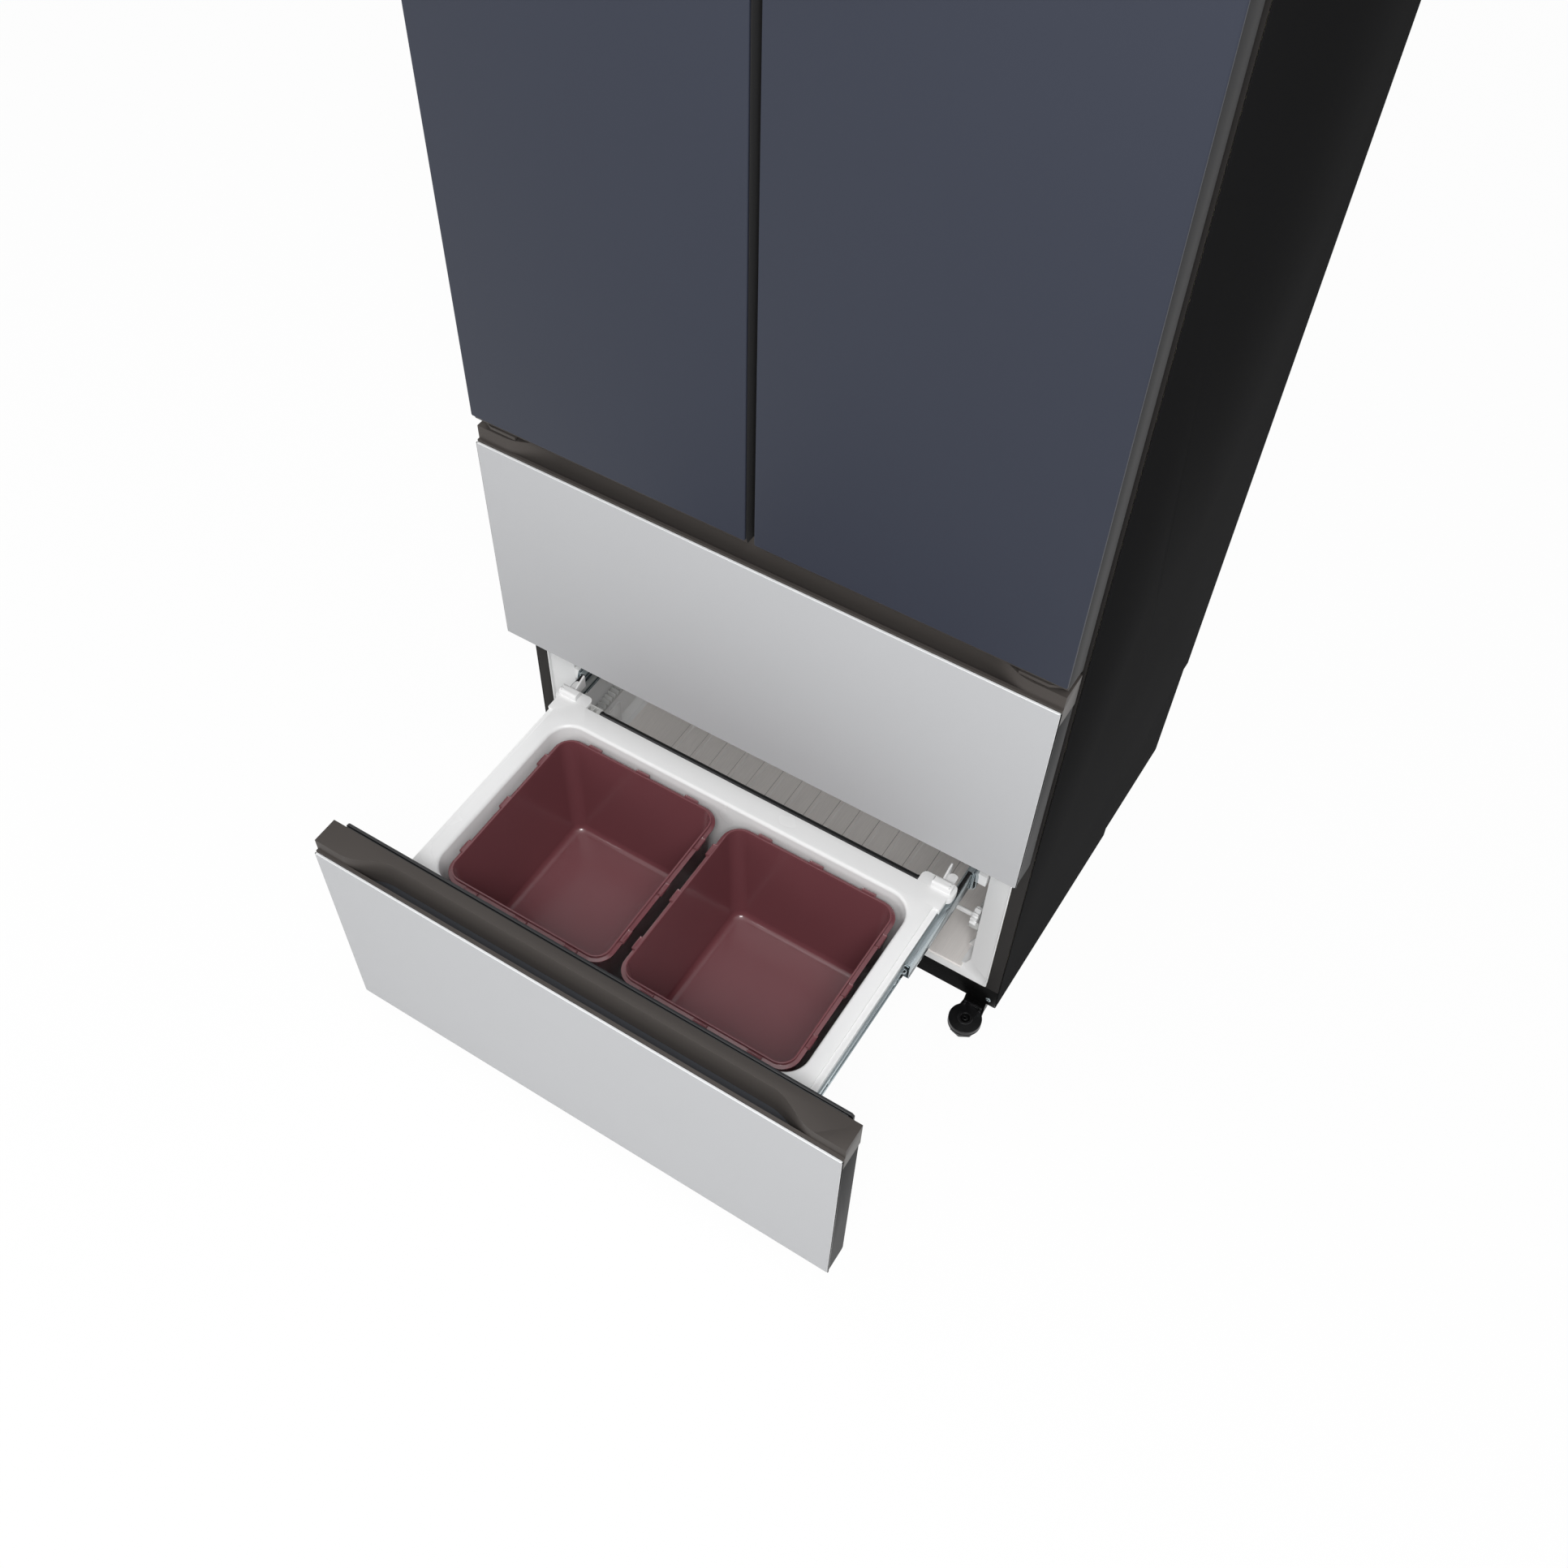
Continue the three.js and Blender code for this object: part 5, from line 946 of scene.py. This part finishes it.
class REFRIGERATOR_OT_studio(bpy.types.Operator):
    """Lay a pale floor and soft lamps round the refrigerator"""

    bl_idname = "refrigerator.studio"
    bl_label = "Studio"

    def execute(self, context):
        scene = context.scene
        scene.view_settings.view_transform = "Standard"
        world = scene.world or bpy.data.worlds.new("studio")
        scene.world = world
        world.use_nodes = True
        tree = world.node_tree
        tree.nodes.clear()
        soft, white = (tree.nodes.new("ShaderNodeBackground") for _ in range(2))
        for background, strength in ((soft, 0.36), (white, 1.0)):
            background.inputs["Color"].default_value = (1, 1, 1, 1)
            background.inputs["Strength"].default_value = strength
        mix = tree.nodes.new("ShaderNodeMixShader")
        out = tree.nodes.new("ShaderNodeOutputWorld")
        tree.links.new(self.seen_directly(tree), mix.inputs["Fac"])
        tree.links.new(soft.outputs["Background"], mix.inputs[1])
        tree.links.new(white.outputs["Background"], mix.inputs[2])
        tree.links.new(mix.outputs["Shader"], out.inputs["Surface"])
        self.floor()
        self.lamp("key", (1.28, -2.35, 3.82), (0, -0.3, 0.4), 1.3, 98)
        self.lamp("front", (-0.6, -4.5, 1.9), (0, -0.2, 0.8), 3.0, 42)
        self.lamp("fill", (-3.2, -2.6, 2.4), (0, -0.4, 0.6), 2.4, 20)
        self.lamp("top", (0.1, -1.0, 4.8), (0, -0.3, 0.3), 2.6, 20)
        return {"FINISHED"}

    def seen_directly(self, tree):
        """One for what the camera, a reflection or clear plastic shows, nought for light on things."""
        path = tree.nodes.new("ShaderNodeLightPath")
        seen = path.outputs["Is Camera Ray"]
        for ray in ("Is Glossy Ray", "Is Transmission Ray"):
            most = tree.nodes.new("ShaderNodeMath")
            most.operation = "MAXIMUM"
            tree.links.new(seen, most.inputs[0])
            tree.links.new(path.outputs[ray], most.inputs[1])
            seen = most.outputs["Value"]
        return seen

    def floor(self):
        bpy.ops.object.select_all(action="DESELECT")
        bpy.ops.mesh.primitive_plane_add(size=30, location=(0, 0, -0.0005))
        floor = bpy.context.object
        floor.name = "floor"
        bpy.ops.object.transform_apply(location=True, rotation=True, scale=True)
        surface = Surface("floor_white", (0.93, 0.93, 0.93), 0.7)
        surface.mottle(surface.noise(2, detail=1), 0.006)
        tree = surface.tree
        glow = tree.nodes.new("ShaderNodeEmission")
        glow.inputs["Color"].default_value = (1, 1, 1, 1)
        glow.inputs["Strength"].default_value = 1
        mix = tree.nodes.new("ShaderNodeMixShader")
        share = tree.nodes.new("ShaderNodeMath")
        share.operation = "MULTIPLY"
        share.inputs[1].default_value = 0.96
        tree.links.new(self.seen_directly(tree), share.inputs[0])
        tree.links.new(share.outputs["Value"], mix.inputs["Fac"])
        tree.links.new(surface.shader.outputs["BSDF"], mix.inputs[1])
        tree.links.new(glow.outputs["Emission"], mix.inputs[2])
        tree.links.new(mix.outputs["Shader"], tree.nodes["Material Output"].inputs["Surface"])
        floor.data.materials.append(surface.material)

    def lamp(self, name, where, target, size, watts):
        data = bpy.data.lights.new(name, "AREA")
        data.shape = "SQUARE"
        data.size = size
        data.energy = watts
        lamp = bpy.data.objects.new(name, data)
        bpy.context.scene.collection.objects.link(lamp)
        lamp.location = where
        lamp.rotation_mode = "QUATERNION"
        lamp.rotation_quaternion = (Vector(target) - Vector(where)).to_track_quat("-Z", "Y")


class REFRIGERATOR_OT_cabinet(bpy.types.Operator):
    """Dress the case, front frame, base and back"""

    bl_idname = "refrigerator.cabinet"
    bl_label = "Cabinet"

    def execute(self, context):
        dress("outer_case", "case", 0.0008)
        dress("front_frame", "frame_dark", 0.0004, 1, slot="trim")
        dress("base_plate", "base_black", 0.0007)
        dress("back_panel", "galvanised", 0.0004, 1)
        dress("machine_cover", "galvanised", 0.0004, 1)
        paint_solid("foam_body", "foam")
        return {"FINISHED"}


class REFRIGERATOR_OT_rooms(bpy.types.Operator):
    """Dress the liners, shelves and floor plates of the cooled rooms"""

    bl_idname = "refrigerator.rooms"
    bl_label = "Rooms"

    def execute(self, context):
        for room in ("middle", "lower"):
            level = DRAWERS[room]
            liner = dress(f"{room}_liner", "inner_white", 0.0009, 2, 50, 50)
            rack_z = level["rim"] - 0.180

            def on_rack(centre, normal):
                return 0.3735 < abs(centre.x) < 0.3876 and near(centre.z, rack_z, 0.015)

            second_finish(liner, "gear_grey", on_rack)
            low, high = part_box(f"{room}_floor_plate")
            plate = floor_sheet(f"{room}_floor_sheet", low[2] - 0.0003, high[1])
            finish(plate, "floor_steel", "cabinet", f"{room}_floor_plate")
            flange = mouth_flange(f"{room}_mouth_flange", level["mouth"], level["cap_top"] - 0.023)
            finish(flange, "inner_white", "cabinet")
        for hand, side in HANDS.items():
            for spot, far, top in (("front", 0.152, 0.192), ("rear", 0.187, 0.164)):
                gusset = wall_gusset(f"lower_{hand}_{spot}_gusset", side, far, top)
                finish(gusset, "white_plastic", "cabinet", slot="inner_white")
            finish(wall_slot(f"lower_{hand}_wall_slot", side), "inner_white", "cabinet")
        for hand in HANDS:
            dress(f"upper_{hand}_liner", "inner_white", 0.001)
            for height in ("low", "high"):
                dress(f"upper_{hand}_{height}_shelf", "shelf_glass", 0.0008)
        return {"FINISHED"}


class REFRIGERATOR_OT_doors(bpy.types.Operator):
    """Dress the upper doors and their hinges"""

    bl_idname = "refrigerator.doors"
    bl_label = "Doors"

    def execute(self, context):
        for hand in HANDS:
            dress(f"{hand}_door_panel", "door_navy", 0.0005)
            frame_piece = dress(f"{hand}_door_frame", "trim", 0.0008)
            # The frame's side faces get the darker, duller body finish as painted shade.
            second_finish(frame_piece, "body_dark", lambda centre, normal: abs(normal.x) > 0.6)
            dress(f"{hand}_door_liner", "inner_white", 0.0012)
            dress(f"{hand}_door_gasket", "seal", 0.0008)
            dress(f"{hand}_top_hinge", "trim", 0.0006)
            dress(f"{hand}_middle_hinge", "trim", 0.0006)
            dress(f"{hand}_hinge_cover", "trim", 0.0015, 3)
        return {"FINISHED"}


class REFRIGERATOR_OT_fronts(bpy.types.Operator):
    """Dress the drawer panels, bodies, inner plates and seals"""

    bl_idname = "refrigerator.fronts"
    bl_label = "Drawer fronts"

    def execute(self, context):
        for room, level in DRAWERS.items():
            panel = dress(f"{room}_front_panel", "drawer_grey", 0.0006)
            # The panel's top and side faces get a lighter finish: a painted highlight along its edges.
            second_finish(panel, "panel_painted_highlight", lambda centre, normal: max(abs(normal.x), normal.z) > 0.6)
            bottom, top = level["panel_bottom"], level["panel_top"] - 0.001
            bead = panel_edging(f"{room}_panel_edging", level["front"], bottom, top)
            finish(bead, "base_black", f"{room}_drawer")
            dress(f"{room}_front_body", "body_dark", 0.0008, slot="trim")
            dress(f"{room}_inner_plate", "inner_white", 0.0015, 3)
            dress(f"{room}_gasket", "seal", 0.0008)
        return {"FINISHED"}


class REFRIGERATOR_OT_caps(bpy.types.Operator):
    """Model the handle caps with their waved finger pockets"""

    bl_idname = "refrigerator.caps"
    bl_label = "Handle caps"

    def execute(self, context):
        for room, level in DRAWERS.items():
            cap, pad = handle_cap(f"{room}_cap", level["front"], level["panel_top"])
            ridge = level["cap_top"] - 0.0025

            # Faces along the top of the pocket's wave are given a painted highlight.
            def pocket_edge_highlight(centre, normal):
                facing = normal.y < -0.25 and 0.3 < normal.z < 0.9
                return facing and centre.z > ridge and abs(centre.x) < 0.412

            second_finish(cap, "trim_painted_highlight", pocket_edge_highlight)
            finish(cap, "trim", f"{room}_drawer", f"{room}_handle_cap")
            finish(pad, "pocket_pad", f"{room}_drawer", slot="black_plastic")
        return {"FINISHED"}


class REFRIGERATOR_OT_bins(bpy.types.Operator):
    """Model the drawer bins"""

    bl_idname = "refrigerator.bins"
    bl_label = "Bins"

    def execute(self, context):
        for room, level in DRAWERS.items():
            front, rim = level["front"], level["rim"]
            tub = drawer_bin(f"{room}_tub", front, rim)
            finish(tub, "white_plastic", f"{room}_drawer", f"{room}_bin")
            finish(rear_bar(f"{room}_rear_bar", front, rim), "shell_black", f"{room}_drawer")
            clip = bar_clip(f"{room}_bar_clip", front, rim)
            finish(clip, "gear_grey", f"{room}_drawer", slot="white_plastic")
            for hand, side in HANDS.items():
                carrier = shaft_carrier(f"{room}_{hand}_carrier", side, front, rim)
                finish(carrier, "gear_grey", f"{room}_drawer", slot="white_plastic")
                rail = drawer_slide(f"{room}_{hand}_drawer_slide", side, front, rim - SLIDE_DROP)
                finish(rail, "zinc", f"{room}_drawer")
        return {"FINISHED"}


class REFRIGERATOR_OT_containers(bpy.types.Operator):
    """Model the lidless food containers"""

    bl_idname = "refrigerator.containers"
    bl_label = "Containers"

    def execute(self, context):
        level = DRAWERS["lower"]
        top = level["rim"] - 0.011
        bottom = level["rim"] - BIN_DEPTH + 0.0033
        y = (level["front"] + 0.099, level["front"] + 0.429)
        for hand, side in HANDS.items():
            piece = container(f"{hand}_food_container", (side * 0.007, side * 0.314), y, bottom, top)
            finish(piece, "container_red", "lower_drawer", f"{hand}_container")
        return {"FINISHED"}


class REFRIGERATOR_OT_slides(bpy.types.Operator):
    """Dress the telescopic slides and cross shafts"""

    bl_idname = "refrigerator.slides"
    bl_label = "Slides and shafts"

    def execute(self, context):
        for room, level in DRAWERS.items():
            z = level["rim"] - SLIDE_DROP
            for hand, side in HANDS.items():
                rail = dress(f"{room}_{hand}_cabinet_rail", "zinc", 0.0006)
                second_finish(rail, "inner_white", lambda centre, normal: abs(centre.x) > 0.3700)
                finish(rail_bracket(f"{room}_{hand}_rail_bracket", side, FRONT, z), "zinc", "cabinet")
                middle_member(f"{room}_{hand}_sliding_rail", side)
                finish(latch(f"{room}_{hand}_latch", side, level["slides"], z), "zinc", f"{room}_slides")
                for way, height in ((1, "upper"), (-1, "lower")):
                    cage = ball_cage(f"{room}_{hand}_{height}_ball_cage", side, level["slides"], z, way)
                    finish(cage, "shell_black", f"{room}_slides")
            shaft = dress(f"{room}_sync_shaft", "shell_black", 0.0003, 1)
            second_finish(shaft, "white_plastic", lambda centre, normal: abs(centre.x) > 0.3165)
        return {"FINISHED"}


class REFRIGERATOR_OT_underside(bpy.types.Operator):
    """Dress the feet, rollers, compressor and fan"""

    bl_idname = "refrigerator.underside"
    bl_label = "Feet and machine room"

    def execute(self, context):
        for hand in HANDS:
            dress(f"front_{hand}_foot", "foot_black", 0.0008, 3, slot="black_plastic")
            dress(f"rear_{hand}_roller", "black_plastic", 0.0006)
        for hand, side in HANDS.items():
            screw = screw_head(f"front_{hand}_screw", side * 0.4414, FRONT + 0.0620, 0.059)
            finish(screw, "zinc", "cabinet")
            cover = foot_cover(f"front_{hand}_foot_cover", side)
            # Sloped bevel faces of the cover get a painted highlight.
            second_finish(cover, "foot_painted_highlight", lambda centre, normal: 0.3 < normal.z < 0.85)
            finish(cover, "foot_black", "cabinet", slot="base_black")
        dress("compressor", "shell_black", 0.002, 3)
        dress("condenser_fan", "black_plastic", 0.0004, 1)
        return {"FINISHED"}


STEPS = (
    REFRIGERATOR_OT_view,
    REFRIGERATOR_OT_studio,
    REFRIGERATOR_OT_cabinet,
    REFRIGERATOR_OT_rooms,
    REFRIGERATOR_OT_doors,
    REFRIGERATOR_OT_fronts,
    REFRIGERATOR_OT_caps,
    REFRIGERATOR_OT_bins,
    REFRIGERATOR_OT_containers,
    REFRIGERATOR_OT_slides,
    REFRIGERATOR_OT_underside,
)


class REFRIGERATOR_PT_panel(bpy.types.Panel):
    """Lists the sizes, colours and steps of the refrigerator"""

    bl_idname = "REFRIGERATOR_PT_panel"
    bl_label = "Kimchi Refrigerator"
    bl_space_type = "VIEW_3D"
    bl_region_type = "UI"
    bl_category = "Refrigerator"

    def draw(self, context):
        for group in (context.scene.refrigerator_colours, context.scene.refrigerator_sizes):
            for key in group.bl_rna.properties.keys():
                if key not in ("rna_type", "name"):
                    self.layout.prop(group, key)
        for step in STEPS:
            self.layout.operator(step.bl_idname)


CLASSES = (RefrigeratorColours, RefrigeratorSizes, *STEPS, REFRIGERATOR_PT_panel)


def register():
    for cls in CLASSES:
        bpy.utils.register_class(cls)
    bpy.types.Scene.refrigerator_colours = bpy.props.PointerProperty(type=RefrigeratorColours)
    bpy.types.Scene.refrigerator_sizes = bpy.props.PointerProperty(type=RefrigeratorSizes)


def unregister():
    del bpy.types.Scene.refrigerator_sizes
    del bpy.types.Scene.refrigerator_colours
    for cls in reversed(CLASSES):
        bpy.utils.unregister_class(cls)


def main():
    register()
    for step in STEPS:
        group, name = step.bl_idname.split(".")
        getattr(getattr(bpy.ops, group), name)()


if __name__ == "__main__":
    main()
